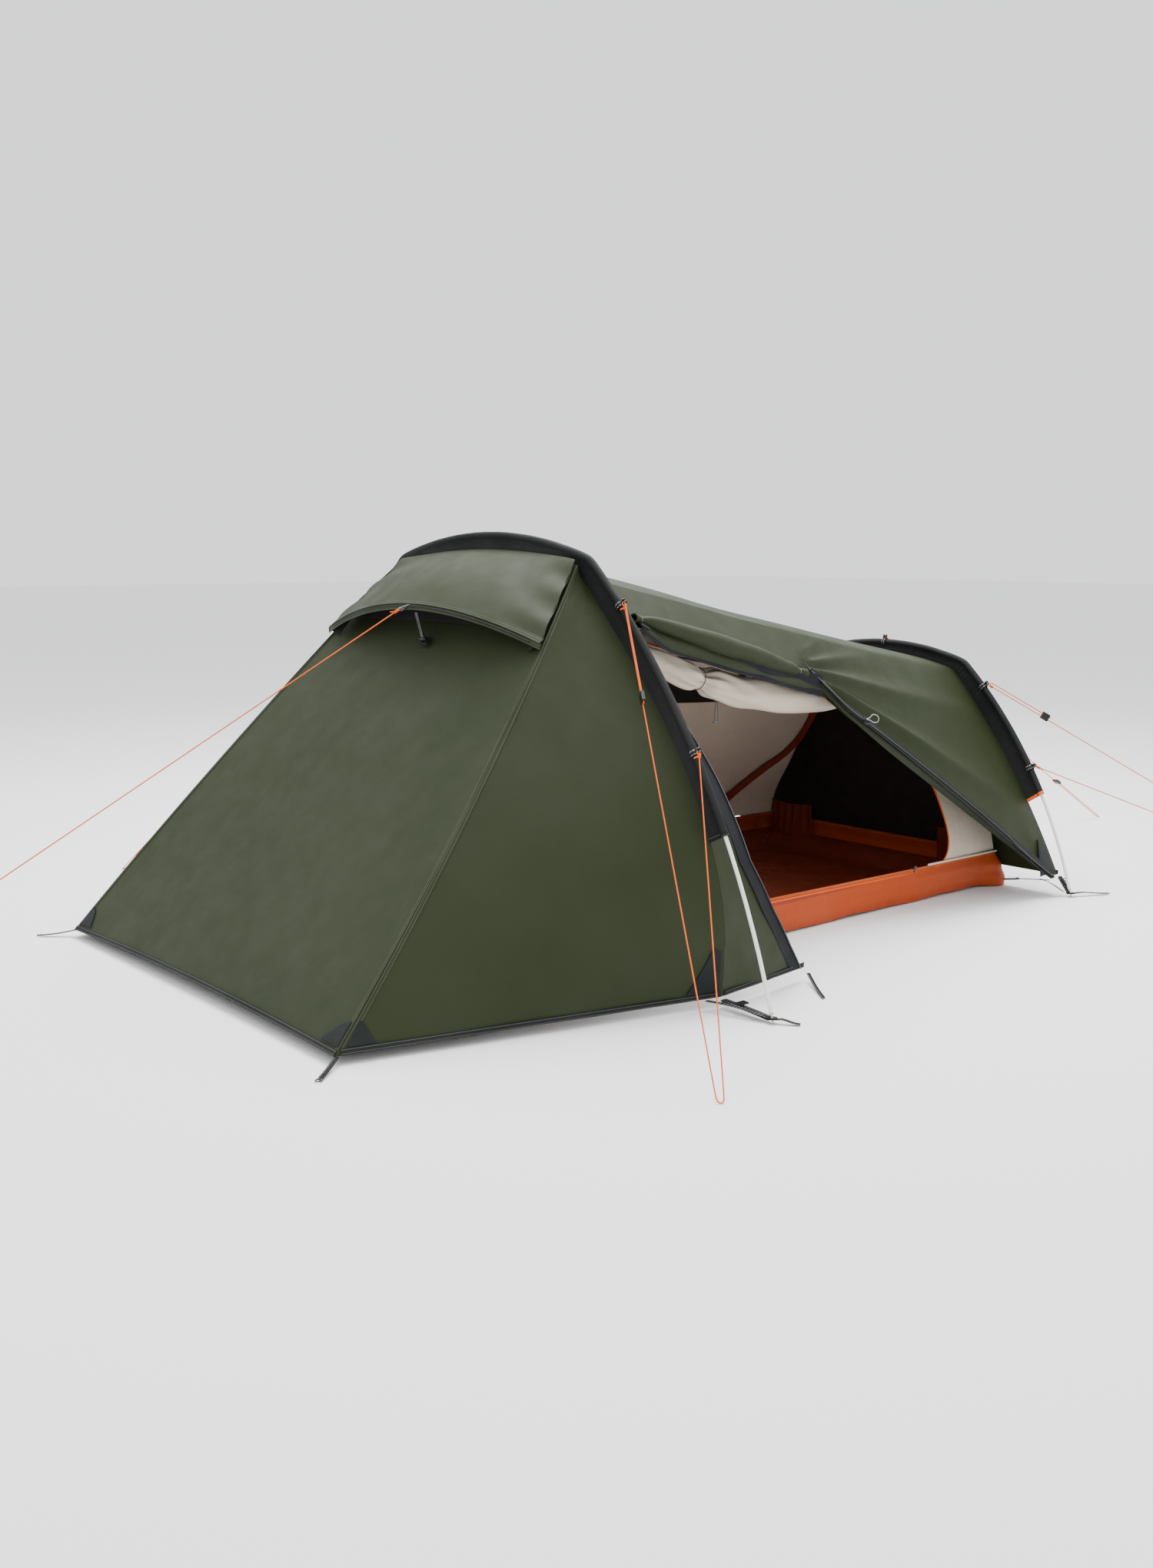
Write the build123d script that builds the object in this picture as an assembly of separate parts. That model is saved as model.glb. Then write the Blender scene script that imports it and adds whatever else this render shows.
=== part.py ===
from build123d import *
import os
from math import pi, tan

os.makedirs("parts", exist_ok=True)

# A two-hoop tunnel tent. Millimetres. +X is the side with the open door, +Y the rear, +Z up.
# The origin is on the ground, midway between the ends of the nose loops and the rear foot tails.

# Overall layout
HALF_LENGTH = 1380.0
FRONT_Y = -385.0
HOOP_SPACING = 1642.0
REAR_Y = FRONT_Y + HOOP_SPACING
NOSE_REACH = 912.0
NOSE_Y = FRONT_Y - NOSE_REACH
NOSE_HALF_WIDTH = 695.0
HALF_WIDTH = 1125.0

# Cloth, tape and pole stock
CLOTH = 1.5
TAPE = 1.6
SEAM_GAP = 3.0
POLE_R = 4.75
POLE_BORE_R = 2.7
SHOCK_CORD_R = 1.5
TUNNEL_IN_R = 6.6
TUNNEL_OUT_R = 8.4
FERRULE_R = 5.7
GUY_R = 1.5

# Each hoop: foot, shoulder bend and crown of the pole's centre line, and the bulge of its long side
FRONT_HOOP = dict(y=FRONT_Y, foot=(1060.0, 24.0), shoulder=(420.0, 1031.0), crown=1092.0, bulge=84.0,
                  bend=95.0, sleeve_foot=404.0)
REAR_HOOP = dict(y=REAR_Y, foot=(748.0, 24.0), shoulder=(326.0, 697.0), crown=747.0, bulge=55.0,
                 bend=75.0, sleeve_foot=302.0)

# Seams where the flysheet meets each sleeve: crown, shoulder, and the control points of its side curve
FRONT_SEAM = dict(crown=1052.0, shoulder=(385.0, 992.0), side=((570.0, 800.0), (990.0, 420.0)),
                  hem=(900.0, 24.0))
REAR_SEAM = dict(crown=712.0, shoulder=(284.0, 672.0), side=((456.0, 491.0), (594.0, 288.0)),
                 hem=(704.0, 62.0))

# Side door of the flysheet, as (distance behind the front hoop, height)
DOOR_FRONT_ZIP = ((-20.0, 930.0), (30.0, 905.0), (62.0, 640.0), (92.0, 510.0), (120.0, 325.0), (330.0, -20.0))
DOOR_TOP = ((30.0, 905.0), (750.0, 738.0))
DOOR_REAR_ZIP = ((750.0, 738.0), (842.0, 596.0), (1414.0, 190.0), (1625.0, 20.0))

# Vent hood over the top of the nose panel
HOOD_RIM = dict(reach=252.0, height=908.0, end=(492.0, -206.0, 826.0))
VENT_STRUT_FOOT = -182.0
STRUT_FOLD_DEG = 90.0

# Inner tent: length, floor, tub and roof
INNER_FRONT_Y = FRONT_Y - 470.0
INNER_REAR_Y = FRONT_Y + 1622.0
INNER_FRONT = dict(floor=545.0, tub=112.0, shoulder=(330.0, 900.0), crown=955.0)
INNER_REAR = dict(floor=488.0, tub=102.0, shoulder=(235.0, 575.0), crown=618.0)
INNER_DOOR = dict(front=90.0, rear=1395.0, sill=104.0, top_front=850.0, knee=(1080.0, 618.0), rear_top=360.0)

# Guy lines: where each leaves its strap on a sleeve, and where it is pegged
FRONT_STRAPS = ((560.0, 925.0), (800.0, 592.0))
REAR_STRAPS = ((444.0, 628.0), (608.0, 388.0))
FRONT_RIGHT_PEG = (1358.0, FRONT_Y - 450.0)
FRONT_LEFT_PEG = (-1475.0, FRONT_Y - 443.0)
REAR_RIGHT_PEG = (1004.0, FRONT_Y + 2581.0)
REAR_LEFT_PEG = (-1004.0, FRONT_Y + 2581.0)
FRONT_CENTRE_PEG = (0.0, FRONT_Y - 1960.0)
REAR_CENTRE_PEG = (0.0, FRONT_Y + 2977.0)
V_TRAVEL = 120.0
CENTRE_TRAVEL = 190.0

nodes = {}


def save(name, *solids):
    """Keeps the solids of one named piece and writes them to its file."""
    nodes[name] = Compound(children=[s for shape in solids for s in shape.solids()])
    export_step(nodes[name], f"parts/{name}.step")


def mix(a, b, t):
    """The point at share t of the way from a to b."""
    return tuple(p + (q - p) * t for p, q in zip(a, b))


def cubic(p, q, r, s, t):
    """A point on a cubic curve with four control points."""
    weights = ((1 - t) ** 3, 3 * t * (1 - t) ** 2, 3 * t * t * (1 - t), t**3)
    return tuple(sum(w * c[i] for w, c in zip(weights, (p, q, r, s))) for i in range(len(p)))


def cloth(point_at, rows=9, columns=7, thickness=CLOTH, outward=(0, 0, 1)):
    """A sheet through point_at(u, v), for u and v from 0 to 1, with its thickness on the outward side."""
    grid = [
        [Vector(*point_at(i / (rows - 1), j / (columns - 1))) for j in range(columns)]
        for i in range(rows)
    ]
    face = Face.make_surface_from_array_of_points(grid, tol=0.05)
    return Solid.thicken(face, thickness, normal_override=Vector(*outward))


def side_cut(outline, width, side):
    """A thin wall across one side of the tent, along an outline of (distance behind the front hoop, height)."""
    line = Polyline(*[(FRONT_Y + y, z) for y, z in outline])
    wall = Plane.YZ * trace([line], width)
    return extrude(wall, amount=side * 1500.0, dir=(1, 0, 0))


def rod(start, end, radius):
    """A round bar between two points."""
    axis = Vector(*end) - Vector(*start)
    return extrude(Plane(origin=start, z_dir=axis) * Circle(radius), amount=axis.length)


def strip(start, end, width, thickness, across):
    """A flat strap between two points. across is the direction of its width."""
    axis = Vector(*end) - Vector(*start)
    plane = Plane(origin=start, x_dir=axis.cross(Vector(*across)).cross(axis), z_dir=axis)
    return extrude(plane * Rectangle(width, thickness), amount=axis.length)


# Hoops ------------------------------------------------------------------------------------------


def hoop_line(hoop):
    """The pole's centre line: two long bowed sides and a crown, joined by the pre-bent corners."""
    foot, shoulder = Vector(*hoop["foot"]), Vector(*hoop["shoulder"])
    run = shoulder - foot
    side_middle = (foot + shoulder) / 2 + Vector(-run.Y, run.X).normalized() * -hoop["bulge"]

    def mirrored(p):
        return Vector(-p.X, p.Y)

    right = ThreePointArc(foot, side_middle, shoulder)
    crown = ThreePointArc(shoulder, (0, hoop["crown"]), mirrored(shoulder))
    left = ThreePointArc(mirrored(shoulder), mirrored(side_middle), mirrored(foot))
    line = Wire([right, crown, left])
    corners = [v for v in line.vertices() if abs(abs(v.X) - shoulder.X) < 0.01]
    return Plane.XZ.offset(-hoop["y"]) * line.fillet_2d(hoop["bend"], corners)


def sleeve_share(line, height):
    """The share of the line's length at which it first reaches this height."""
    low, high = 0.0, 0.5
    for _ in range(40):
        middle = (low + high) / 2
        low, high = (middle, high) if (line @ middle).Z < height else (low, middle)
    return low


def swept(line, start, end, outer, inner=0.0):
    """A round bar or tube along the stretch of a line between two shares of its length."""
    path = line if (start, end) == (0.0, 1.0) else line.trim(start, end)
    section = Plane(origin=path @ 0, z_dir=path % 0) * Circle(outer)
    bar = sweep(section, path=path)
    if inner:
        bar -= sweep(Plane(origin=path @ 0, z_dir=path % 0) * Circle(inner), path=path)
    return bar


def fin_face(hoop, seam, line):
    """The flat web of a sleeve, between its pole tunnel and the flysheet's seam."""
    flat = line.moved(Plane.XZ.offset(-hoop["y"]).location.inverse())
    inside_hoop = make_face([*flat.edges(), Line(flat @ 1, flat @ 0)])
    hem, shoulder = seam["hem"], seam["shoulder"]
    corners = [hem, seam["side"][1], seam["side"][0], shoulder]
    right = Bezier(*corners)
    left = Bezier(*[(-x, z) for x, z in corners])
    crown = ThreePointArc(shoulder, (0, seam["crown"]), (-shoulder[0], shoulder[1]))
    inside_seam = make_face([right, crown, left, Line(left @ 0, right @ 0)])
    below = Pos(0, hoop["sleeve_foot"] - 500) * Rectangle(3000, 1000)
    return offset(inside_hoop, amount=-(TUNNEL_OUT_R + 0.2)) - inside_seam - below


def sleeve(hoop, seam, line):
    """A sleeve: a tunnel round the pole, and the web below it that runs down to the flysheet."""
    share = sleeve_share(line, hoop["sleeve_foot"])
    web = Plane.XZ.offset(-hoop["y"]) * extrude(fin_face(hoop, seam, line), amount=1.4, both=True)
    return swept(line, share, 1 - share, TUNNEL_OUT_R, TUNNEL_IN_R), web


front_line, rear_line = hoop_line(FRONT_HOOP), hoop_line(REAR_HOOP)
hoops = ((FRONT_HOOP, FRONT_SEAM, front_line), (REAR_HOOP, REAR_SEAM, rear_line))
tips, ferrules, cords_inside = [], [], []
SECTION_SHARES = (0.26, 0.5, 0.74)
for name, (hoop, seam, line) in zip(("front", "rear"), hoops):
    save(f"{name}_pole", swept(line, 0.0, 1.0, POLE_R, POLE_BORE_R))
    cords_inside.append(swept(line, 0.01, 0.99, SHOCK_CORD_R))
    half = 32.0 / line.length
    ferrules += [swept(line, s - half, s + half, FERRULE_R, POLE_R + 0.08) for s in SECTION_SHARES]
    for end, sign in ((0.0, 1), (1.0, -1)):
        foot = line @ end
        down = (line % end) * -sign
        plug = rod(foot - down * 12, foot, POLE_BORE_R - 0.15)
        collar = rod(foot + down * 0.2, foot + down * 5.0, POLE_R + 0.6)
        drop = (foot.Z + down.Z * 5.0) / -down.Z
        pin = extrude(Plane(origin=foot + down * 5.0, z_dir=down) * Circle(2.4), amount=drop - 1.2)
        tips.append(plug + rod(foot, foot + down * 0.2, POLE_BORE_R - 0.15) + collar + pin)
save("shock_cords", *cords_inside)
save("pole_ferrules", *ferrules)
save("pole_tips", *tips)
save("front_sleeve", *sleeve(FRONT_HOOP, FRONT_SEAM, front_line))
save("rear_sleeve", *sleeve(REAR_HOOP, REAR_SEAM, rear_line))

# A trim ring at each lower end of the rear sleeve
trim_at = sleeve_share(rear_line, REAR_HOOP["sleeve_foot"] - 12)
trim_length = 9.0 / rear_line.length
trims = [
    swept(rear_line, a, a + trim_length, TUNNEL_OUT_R, TUNNEL_IN_R)
    for a in (trim_at, 1 - trim_at - trim_length)
]
save("rear_sleeve_trim", *trims)

# Flysheet ---------------------------------------------------------------------------------------


def seam_point(seam, v):
    """A point (across, height) down one side of a sleeve's seam, from the shoulder to the hem."""
    return cubic(seam["shoulder"], *seam["side"], seam["hem"], v)


def fly_side(u, v):
    """The side of the flysheet: u runs from the front hoop to the rear one, v from shoulder to hem."""
    x, z = mix(seam_point(FRONT_SEAM, v), seam_point(REAR_SEAM, v), u)
    return (x, mix((FRONT_Y + SEAM_GAP,), (REAR_Y - SEAM_GAP,), u)[0], z)


def mirrored(point):
    return (-point[0], point[1], point[2])


def fly_crown(u, v):
    """The roof of the flysheet between the shoulders: v runs from one shoulder to the other."""
    front, rear = FRONT_SEAM, REAR_SEAM
    shoulder_x, shoulder_z = mix(front["shoulder"], rear["shoulder"], u)
    crown = mix((front["crown"],), (rear["crown"],), u)[0]
    w = 2 * v - 1
    return (w * (shoulder_x - SEAM_GAP), mix((FRONT_Y + SEAM_GAP,), (REAR_Y - SEAM_GAP,), u)[0],
            crown - (crown - shoulder_z) * w * w)


def nose_plane(y):
    """The height of the sloping nose panel at a distance y."""
    return 20.0 + (y - NOSE_Y) * 1020.0 / NOSE_REACH


def nose_seam(v):
    """The seam between the nose panel and its side panel, from the shoulder to the nose corner."""
    x, y = cubic((400.0, FRONT_Y - 22.0), (520.0, FRONT_Y - 250.0), (650.0, FRONT_Y - 620.0),
                 (NOSE_HALF_WIDTH, NOSE_Y), v)
    return (x, y, nose_plane(y))


def nose_side(u, v):
    """The side of the nose: u runs from the nose seam to the front hoop, v from top to hem."""
    x, z = seam_point(FRONT_SEAM, v)
    share = 0.012 + 0.976 * u
    return mix(nose_seam(v), (x, FRONT_Y - SEAM_GAP, z), share)


save("roof_panel", cloth(fly_crown, 5, 9))
door_cut = DOOR_FRONT_ZIP[::-1] + DOOR_TOP[1:] + DOOR_REAR_ZIP[1:]
strips = []
for side, name in ((1, "right"), (-1, "left")):
    def panel_point(u, v, side=side):
        x, y, z = fly_side(u, v)
        return (side * x, y, z)

    whole = cloth(panel_point, 7, 11, outward=(side, 0, 0))
    pieces = (whole - side_cut(door_cut, SEAM_GAP, side)).solids().sort_by(Axis.Y)
    strips.append(pieces[0])
    door, rear = pieces[1:].sort_by(Axis.Z)[0], pieces[1:].sort_by(Axis.Z)[-1]
    save(f"side_panel_{name}", rear)
    if name == "left":
        save("left_door", door)

    def nose_point(u, v, side=side):
        x, y, z = nose_side(u, v)
        return (side * x, y, z)

    save(f"nose_side_{name}", cloth(nose_point, 7, 9, outward=(side, -0.3, 0.3)))
save("front_strips", *strips)


def nose_panel(u, v):
    """The sloping nose panel: u runs from its top to the hem, v from one seam to the other."""
    x, y, z = nose_seam(u)
    w = 2 * v - 1
    rise = (1 - u) ** 3 * 22.0 * (1 - w * w)
    return (w * (x - SEAM_GAP), y - SEAM_GAP + rise * 0.7, z + rise)


save("nose_front_panel", cloth(nose_panel, 9, 9, outward=(0, -1, 1)))

rear_outline = [seam_point(REAR_SEAM, i / 8) for i in range(9)]
rear_right = Spline(*[(x - SEAM_GAP, z - SEAM_GAP * (1 - i / 8)) for i, (x, z) in enumerate(rear_outline)])
rear_left = mirror(rear_right, Plane.YZ)
rear_crown = ThreePointArc(rear_right @ 0, (0, REAR_SEAM["crown"] - SEAM_GAP), rear_left @ 0)
rear_face = make_face([rear_right, rear_crown, rear_left, Line(rear_right @ 1, rear_left @ 1)])
save("rear_end_panel", Plane.XZ.offset(-(REAR_Y - 1.0)) * extrude(rear_face, amount=CLOTH))

# Hem binding: a straight tape outside the lower edge of each panel
HEM_HEIGHT = 13.0
HEM_STAND_OFF = 4.6


def hem_tape(surface, outward, start, end, flip=False):
    """A tape along the hem of a surface, standing off it by a small gap."""

    def at(along, down):
        return Vector(*(surface(down, along) if flip else surface(along, down)))

    middle = (start + end) / 2
    rise = (at(middle, 0.985) - at(middle, 1.0)).normalized()
    push = Vector(*outward).normalized() * HEM_STAND_OFF + rise * HEM_HEIGHT / 2
    return strip(at(start, 1.0) + push, at(end, 1.0) + push, HEM_HEIGHT, TAPE, rise)


hems = [hem_tape(nose_panel, (0, -1, 0.9), 0.02, 0.98, flip=True)]
for side in (1, -1):
    def nose_hem(u, v, side=side):
        x, y, z = nose_side(u, v)
        return (side * x, y, z)

    def side_hem(u, v, side=side):
        x, y, z = fly_side(u, v)
        return (side * x, y, z)

    hems.append(hem_tape(nose_hem, (side, -0.25, 0), 0.03, 0.975))
    hems.append(hem_tape(side_hem, (side, 0, 0), 0.02, 0.19))
hems.append(hem_tape(lambda u, v: mirrored(fly_side(u, v)), (-1, 0, 0), 0.215, 0.985))
save("hem_binding", *hems)

# Corner patches, a little outside the panels they reinforce
PATCH_OFF = 3.2


def patch(surface, shares, outward):
    """A reinforcement standing just off a surface, between four (u, v) corners of that surface."""
    push = Vector(*outward).normalized() * PATCH_OFF

    def point_at(u, v):
        a, b = mix(shares[0], shares[1], u), mix(shares[3], shares[2], u)
        return tuple(Vector(*surface(*mix(a, b, v))) + push)

    return cloth(point_at, 4, 4, TAPE, outward)


patches = []
for side in (1, -1):
    def nose_part(u, v, side=side):
        x, y, z = nose_side(u, v)
        return (side * x, y, z)

    def side_part(u, v, side=side):
        x, y, z = fly_side(u, v)
        return (side * x, y, z)

    patches.append(patch(nose_part, ((0.02, 0.9), (0.02, 0.955), (0.17, 0.955), (0.06, 0.9)), (side, -1, 0)))
    patches.append(patch(nose_part, ((0.9, 0.84), (0.8, 0.955), (0.97, 0.955), (0.97, 0.84)), (side, 0, 0)))
    patches.append(patch(side_part, ((0.965, 0.84), (0.93, 0.95), (0.99, 0.95), (0.99, 0.84)), (side, 0, 0)))
    corner = ((0.86, 0.5 + side * 0.44), (0.955, 0.5 + side * 0.36), (0.955, 0.5 + side * 0.485),
              (0.86, 0.5 + side * 0.485))
    patches.append(patch(nose_panel, corner, (0, -1, 0.5)))
save("corner_patches", *patches)

# Side door zips. Each track is an arc that follows the bow of the doorway's rear edge.
ZIP_TOP = (540.0, FRONT_Y + 852.0, 598.0)
ZIP_MIDDLE = (622.0, FRONT_Y + 1138.5, 394.0)
ZIP_FOOT = (677.0, FRONT_Y + 1425.0, 190.0)
ZIP_OUTWARD = (1.0, 0.2, 0.55)
ZIP_PARKED = 40.0
ZIP_TRACK_R = 1.8
ZIP_STAND_OFF = 10.5


def zip_slider(start, end, side_way):
    """A slider on a round track with its pull tab: it starts at the first point and faces side_way."""
    axis = (Vector(*end) - Vector(*start)).normalized()
    plane = Plane(origin=start, x_dir=axis.cross(Vector(*side_way)).cross(axis), z_dir=axis)
    body = plane * extrude(Rectangle(11, 12), amount=15)
    bore = plane * Pos(0, 0, -1) * extrude(Circle(ZIP_TRACK_R + 0.5), amount=17)
    slot = plane * Pos(-4, 0, 7.5) * Box(8, 1.8, 17)
    pull = plane * Pos(8.5, 0, 2) * Box(2.0, 5.0, 28)
    bridge = plane * Pos(6.4, 0, 8) * Box(3.0, 3.0, 5.0)
    return body - bore - slot + bridge + pull


def zip_line(side):
    """The centre line of a door's zip track, from its top to its foot."""
    outward = Vector(*ZIP_OUTWARD).normalized() * ZIP_STAND_OFF
    points = [Vector(*p) + outward for p in (ZIP_TOP, ZIP_MIDDLE, ZIP_FOOT)]
    return ThreePointArc(*[Vector(side * p.X, p.Y, p.Z) for p in points])


tracks, zip_sliders = [], {}
for side, name in ((1, "right"), (-1, "left")):
    line = zip_line(side)
    tracks.append(sweep(Plane(origin=line @ 0, z_dir=line % 0) * Circle(ZIP_TRACK_R), path=line))
    parked = ZIP_PARKED / line.length
    share, way = (parked, 1) if side > 0 else (1 - parked, -1)
    start, direction = line @ share, line % share * way
    out = Vector(side * ZIP_OUTWARD[0], *ZIP_OUTWARD[1:])
    save(f"{name}_door_zip_slider", zip_slider(start, start + direction * 100, out))
    zip_sliders[name] = (line.arc_center, (start - line.arc_center).cross(direction).normalized())
save("door_zip_tracks", *tracks)

# The outer right door, rolled up under the edge of the roof
ROLL_START = (548.0, FRONT_Y + 36.0, 893.0)
ROLL_MIDDLE = (512.0, FRONT_Y + 390.0, 800.0)
ROLL_END = (462.0, FRONT_Y + 735.0, 712.0)


def spindle(points, radii, thickness_ratio=1.0):
    """A soft roll: round sections of these radii, at these points, joined smoothly."""
    sections = []
    for i, (p, r) in enumerate(zip(points, radii)):
        before, after = points[max(i - 1, 0)], points[min(i + 1, len(points) - 1)]
        plane = Plane(origin=p, x_dir=(1, 0, 0), z_dir=Vector(*after) - Vector(*before))
        sections.append(plane * Ellipse(r, r * thickness_ratio))
    return loft(sections)


roll_points = [mix(ROLL_START, ROLL_MIDDLE, 0.0), mix(ROLL_START, ROLL_MIDDLE, 0.5), ROLL_MIDDLE,
               mix(ROLL_MIDDLE, ROLL_END, 0.5), ROLL_END]
save("rolled_door", spindle(roll_points, (16.0, 27.0, 34.0, 30.0, 19.0)))



def toggle(centre, axis, length=26.0, radius=3.4):
    """A small barrel toggle."""
    half = Vector(*axis).normalized() * length / 2
    return rod(Vector(*centre) - half, Vector(*centre) + half, radius)


# The toggles that hold the roll at its two ends
toggles = [
    toggle((492.0, FRONT_Y + 752.0, 722.0), (0.2, 1, -0.4)),
    toggle((570.0, FRONT_Y + 50.0, 868.0), (0.3, 1, -0.6)),
]

# Vent hood: a stiffened flap above the meshed opening at the top of the nose panel ---------------
RIM_WIRE_R = 1.6


def hood(u, v):
    """The vent hood: u runs from the crown seam to its rim, v from the left end to the right end."""
    w = 2 * v - 1
    top_x = 392.0 * w
    top = (top_x, FRONT_Y - 8.0 - 8.0 * w * w, 1049.0 - 28.0 * w * w)
    end_x, end_y, end_z = HOOD_RIM["end"]
    bow = 1 - w * w
    rim = (end_x * w, FRONT_Y + end_y - (HOOD_RIM["reach"] + end_y) * bow,
           end_z + (HOOD_RIM["height"] - end_z) * bow)
    lift = 14.0 * 4 * u * (1 - u) * (1 - w**4)
    x, y, z = mix(top, rim, u)
    return (x, y - lift * 0.4 - 6.0, z + lift + 6.0)


save("vent_hood", cloth(hood, 5, 13, outward=(0, -0.4, 1)))
rim_points = [Vector(*hood(1.0, 0.03 + 0.94 * i / 8)) + Vector(0, -5.0, -3.5) for i in range(9)]
rim_path = Spline(*rim_points)
rim_section = Plane(origin=rim_path @ 0, z_dir=rim_path % 0) * Circle(RIM_WIRE_R)
save("vent_rim_wire", sweep(rim_section, path=rim_path))


def vent(u, v):
    """The mesh of the vent, just in front of the nose panel and below the hood."""
    w = 2 * v - 1
    x = (330.0 + 60.0 * u) * w
    y = FRONT_Y - 60.0 - 105.0 * u
    return (x, y - 16.0, nose_plane(y) + 12.0)


save("vent_mesh", cloth(vent, 3, 5, outward=(0, -1, 1)))

# The strut that props the hood: it folds down about its pin on the nose panel
strut_y = FRONT_Y + VENT_STRUT_FOOT - 26.0
STRUT_PIVOT = (0.0, strut_y - 8.0, nose_plane(strut_y) + 16.0)
STRUT_HEAD = (0.0, FRONT_Y - 236.0, 893.0)
strut_axis = (Vector(*STRUT_HEAD) - Vector(*STRUT_PIVOT)).normalized()
strut_plane = Plane(origin=STRUT_PIVOT, x_dir=(1, 0, 0), z_dir=strut_axis)
strut_length = (Vector(*STRUT_HEAD) - Vector(*STRUT_PIVOT)).length
arm = strut_plane * extrude(Rectangle(14, 3), amount=strut_length)
hub = Plane(origin=(-9, *STRUT_PIVOT[1:]), z_dir=(1, 0, 0)) * extrude(Circle(5), amount=18)
bore = Plane(origin=(-10, *STRUT_PIVOT[1:]), z_dir=(1, 0, 0)) * extrude(Circle(2.1), amount=20)
save("vent_strut", arm + hub - bore)
pin = Plane(origin=(-15, *STRUT_PIVOT[1:]), z_dir=(1, 0, 0)) * extrude(Circle(2.05), amount=30)
panel_normal = Vector(0, -1020.0, NOSE_REACH).normalized()
base_centre = Vector(*STRUT_PIVOT) - panel_normal * 8.5
mount = pin + Plane(origin=base_centre, x_dir=(1, 0, 0), z_dir=panel_normal) * Box(36, 26, 2)
for x in (-14.0, 11.0):
    mount += Plane(origin=(x, *STRUT_PIVOT[1:]), z_dir=(1, 0, 0)) * extrude(Circle(5), amount=3)
    leg = Plane(origin=(x + 1.5, *STRUT_PIVOT[1:]), x_dir=(1, 0, 0), z_dir=panel_normal * -1)
    mount += leg * extrude(Rectangle(3, 8), amount=8.5)
save("vent_strut_mount", mount)

# Ground fixings ---------------------------------------------------------------------------------
GROMMET_IN_R = 4.2
GROMMET_OUT_R = 9.0
GROMMET_Z = 12.0
WEB_WIDTH = 20.0
grommets, webs, buckles, cross_straps = [], [], [], []
for hoop, seam, line, tail_end in (
    (FRONT_HOOP, FRONT_SEAM, front_line, (HALF_WIDTH, FRONT_Y + 35.0)),
    (REAR_HOOP, REAR_SEAM, rear_line, (808.0, HALF_LENGTH)),
):
    foot, down = line @ 0, (line % 0) * -1
    drop = (foot.Z - GROMMET_Z) / -down.Z
    centre = foot + down * drop
    tail = Vector(*tail_end, 0)
    outward = (tail - Vector(centre.X, centre.Y, 0)).normalized()
    inner = Vector(seam["hem"][0] + 8.0, hoop["y"], max(seam["hem"][1], 24.0))
    for side in (1, -1):
        def placed(p, side=side):
            return Vector(side * p.X, p.Y, p.Z)

        ring = Circle(GROMMET_OUT_R) - Circle(GROMMET_IN_R)
        grommets.append(Pos(placed(centre)) * extrude(ring, amount=1.0, both=True))
        ring_edge = Vector(centre.X, centre.Y, GROMMET_Z)
        arm = (Vector(inner.X, inner.Y, GROMMET_Z) - ring_edge).normalized()
        webs.append(strip(placed(inner + Vector(0, 0, -8)), placed(ring_edge + arm * (GROMMET_OUT_R + 2.5)),
                          WEB_WIDTH, TAPE, (0, 1, 0)))
        tail_start = placed(ring_edge + outward * (GROMMET_OUT_R + 1.5))
        tail_stop = placed(Vector(tail.X, tail.Y, 3.5))
        webs.append(strip(tail_start, tail_stop, WEB_WIDTH * 0.8, TAPE, outward.cross(Vector(0, 0, 1)) * side))
        run = placed(ring_edge - inner)
        above = run.cross(Vector(0, 1, 0)).normalized()
        above = above * (1 if above.Z > 0 else -1)
        middle = placed(inner + (ring_edge - inner) * 0.38) + above * 5.5
        frame = Box(18, 30, 3) - Pos(4, 0, 0) * Box(4, 22, 5) - Pos(-4, 0, 0) * Box(4, 22, 5)
        buckles.append(Plane(origin=middle, x_dir=run, z_dir=above) * frame)
        brace = inner + Vector(-12, -46 if hoop is FRONT_HOOP else -90, -2)
        cross_straps.append(strip(placed(brace), placed(ring_edge + arm * 14 + Vector(0, -16, -1.5)),
                                  12.0, TAPE, (0, 1, 0)))
save("grommets", *grommets)
save("foot_webbing", *webs)
save("ladder_buckles", *buckles)
save("cross_straps", *cross_straps)

tie_outs = []
for side in (1, -1):
    corner = Vector(side * (NOSE_HALF_WIDTH + 9), NOSE_Y - 12, 14)
    loop_end = Vector(side * 752.0, -HALF_LENGTH + 16.0, 4.0)
    tie_outs.append(strip(corner, loop_end, 12.0, TAPE, (-side * 0.75, 1, 0)))
    ring = extrude(Circle(8) - Circle(5.5), amount=1.2, both=True)
    tie_outs.append(Pos(side * 760.0, -HALF_LENGTH + 8.0, 4.0) * ring)
    strip_corner = Vector(side * 882.0, FRONT_Y + 318.0, 12.0)
    tie_outs.append(strip(strip_corner, Vector(side * 1010.0, FRONT_Y + 232.0, 3.0), 9.0, TAPE, (side * 0.6, 1, 0)))
save("tie_outs", *tie_outs)

# Inner tent -------------------------------------------------------------------------------------
WALL_SLACK = 26.0


def inner_share(y):
    """How far y is along the inner tent, from the front hoop to the rear wall."""
    return (y - FRONT_Y) / (INNER_REAR_Y - FRONT_Y)


def inner_size(key, y):
    return mix((INNER_FRONT[key],), (INNER_REAR[key],), max(inner_share(y), -0.05))[0]


def inner_height(y):
    """The height of the inner tent's shoulder, which slopes down ahead of the front hoop."""
    shoulder_z = mix(INNER_FRONT["shoulder"], INNER_REAR["shoulder"], max(inner_share(y), 0.0))[1]
    if y >= FRONT_Y - 40.0:
        return shoulder_z
    t = (FRONT_Y - 40.0 - y) / (FRONT_Y - 40.0 - INNER_FRONT_Y)
    return mix((INNER_FRONT["shoulder"][1],), (300.0,), t)[0]


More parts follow.
